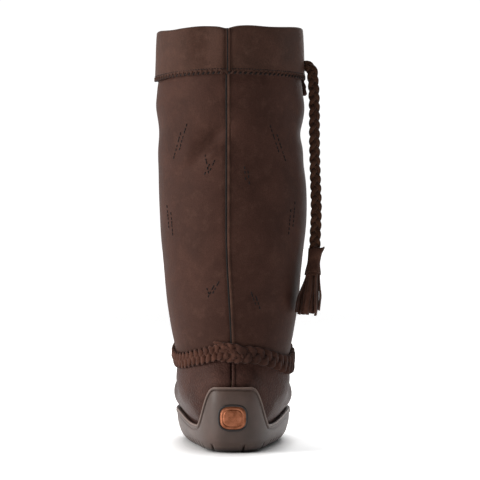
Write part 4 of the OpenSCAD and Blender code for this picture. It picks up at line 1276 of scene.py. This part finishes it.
def pad_mesh(inset, z0, z1, crown, round_r, fluff=0.0, channels=0.0):
    """Pad cut to the sole's outline, with rounded edges and a crowned top."""
    pv, ps = around_sole(110)
    rings = []
    for k in range(9):
        a = k / 8 * math.pi
        rings.append(outline(pv, ps, inset + round_r * (1 - math.sin(a)))
                     + points(0.0, 0.0, mix(z0, z1, (1 - math.cos(a)) / 2) + 0 * pv))
    for k in range(1, 26):
        share = k / 26
        ring = outline(pv, ps, inset + round_r)
        ring = ring * np.array([1 - share, 1 - share * 0.98, 1]) + np.array([SOLE_X * share, 0, 0])
        channel = channels * bell((ring[:, 1] / 0.024) % 1 - 0.5, 0.1) * smooth(0, 0.2, share)
        rise = crown * smooth(0, 0.5, share) - channel
        ring[:, 2] = z1 + rise
        if fluff:
            ring[:, 2] += curls(ring, fluff) * smooth(0, 0.15, share)
        rings.append(ring)
    return ring_solid(rings)


for node, name, material, grow_in, fluff, channels, crown in (
    ("footbed", "footbed_pad", FOAM, 0.1, 0.0, 0.0, 0.0),
    ("footbed_fleece", "footbed_cover", FOOTBED_PILE, 0.2, 1.3, 0.25, 0.3),
):
    low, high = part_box(node)
    shape = pad_mesh(HALF_L - high[1] + grow_in * MM, low[2] + 0.05 * MM, high[2] - 0.5 * MM, crown * MM,
                     0.9 * (high[2] - low[2]) / 2, fluff * MM, channels * MM)
    pad = add_mesh(name, shape, material, node, body="footbed")


# ------------------------------------------------------------------ carried-over CAD pieces
CARRIED_OVER = {"midsole": MIDSOLE, "insole_board": BOARD, "heel_counter": STIFFENER, "toe_puff": STIFFENER}
for node, material in CARRIED_OVER.items():
    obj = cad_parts[node]
    for slot in obj.material_slots:
        slot.material = material


# ------------------------------------------------------------------ floor and light
floor = bpy.data.meshes.new("floor")
floor.from_pydata([(-30, -60, 0), (30, -60, 0), (30, 8, 0), (-30, 8, 0)], [], [(0, 1, 2, 3)])
floor_obj = bpy.data.objects.new("floor", floor)
bpy.context.collection.objects.link(floor_obj)
paper = Nodes("floor_paper", 0.8, specular=0.2)
tooth = paper.noise(4 * MM, 3, 0.6)
paper_white = paper.blend(tooth, (0.93, 0.93, 0.93, 1), (0.95, 0.95, 0.95, 1))
paper.finish(paper_white, paper.span(tooth, 0, 1, 0.75, 0.85), [])
# The floor glows to stay evenly white, more so far away. Inside an ellipse round the sole the glow drops to
# nothing: a painted contact shadow.
paper.shader.inputs["Emission Color"].default_value = (1, 1, 1, 1)
where = paper.node("ShaderNodeMapping")
paper.link(paper.place, where.inputs["Vector"])
where.inputs["Scale"].default_value = (1 / 0.052, 1 / 0.15, 0)
reach = paper.node("ShaderNodeVectorMath", operation="LENGTH")
paper.link(where.outputs["Vector"], reach.inputs[0])
glow_past_painted_shadow = paper.span(reach.outputs["Value"], 0.9, 1.25, 0.0, 0.36)
far = paper.span(reach.outputs["Value"], 8.0, 60.0, 0.0, 0.4)
paper.link(paper.maths("ADD", glow_past_painted_shadow, far), paper.shader.inputs["Emission Strength"])
floor.materials.append(paper.material)


def soft_light(name, place, aim, size, power, colour=(1, 1, 1)):
    data = bpy.data.lights.new(name, "AREA")
    data.shape = "RECTANGLE"
    data.size, data.size_y = size
    data.energy = power
    data.color = colour
    obj = bpy.data.objects.new(name, data)
    obj.location = place
    obj.rotation_euler = (Vector(aim) - Vector(place)).to_track_quat("-Z", "Y").to_euler()
    bpy.context.collection.objects.link(obj)


soft_light("key", (2.0, 0.85, 0.75), (0, 0, 0.2), (0.6, 1.2), 41, (1.0, 0.97, 0.94))
soft_light("edge", (-1.9, -0.25, 0.6), (0, 0, 0.25), (0.5, 1.2), 1.2, (0.92, 0.95, 1.0))
soft_light("top", (0, -0.6, 2.2), (0, 0, 0.1), (2.0, 2.0), 26)
soft_light("front", (-0.6, -2.0, 1.0), (0, 0, 0.15), (1.4, 1.4), 14)

# White studio, dimmer behind the camera's right so that the boot's far side falls off
world = bpy.data.worlds.new("studio")
bpy.context.scene.world = world
world.use_nodes = True
sky = world.node_tree
direction = sky.nodes.new("ShaderNodeTexCoord")
toward_dark = sky.nodes.new("ShaderNodeVectorMath")
toward_dark.operation = "DOT_PRODUCT"
toward_dark.inputs[1].default_value = (-0.62, 0.78, 0.05)
sky.links.new(direction.outputs["Generated"], toward_dark.inputs[0])
dim = sky.nodes.new("ShaderNodeMapRange")
sky.links.new(toward_dark.outputs["Value"], dim.inputs["Value"])
for key, value in (("From Min", -0.35), ("From Max", 0.6), ("To Min", 0.8), ("To Max", 0.05)):
    dim.inputs[key].default_value = value
background = sky.nodes["Background"]
background.inputs["Color"].default_value = (1, 1, 1, 1)
seen = sky.nodes.new("ShaderNodeLightPath")
backdrop = sky.nodes.new("ShaderNodeMix")
sky.links.new(seen.outputs["Is Camera Ray"], backdrop.inputs["Factor"])
sky.links.new(dim.outputs["Result"], backdrop.inputs["A"])
backdrop.inputs["B"].default_value = 1.05
sky.links.new(backdrop.outputs["Result"], background.inputs["Strength"])
bpy.context.scene.view_settings.view_transform = "Standard"
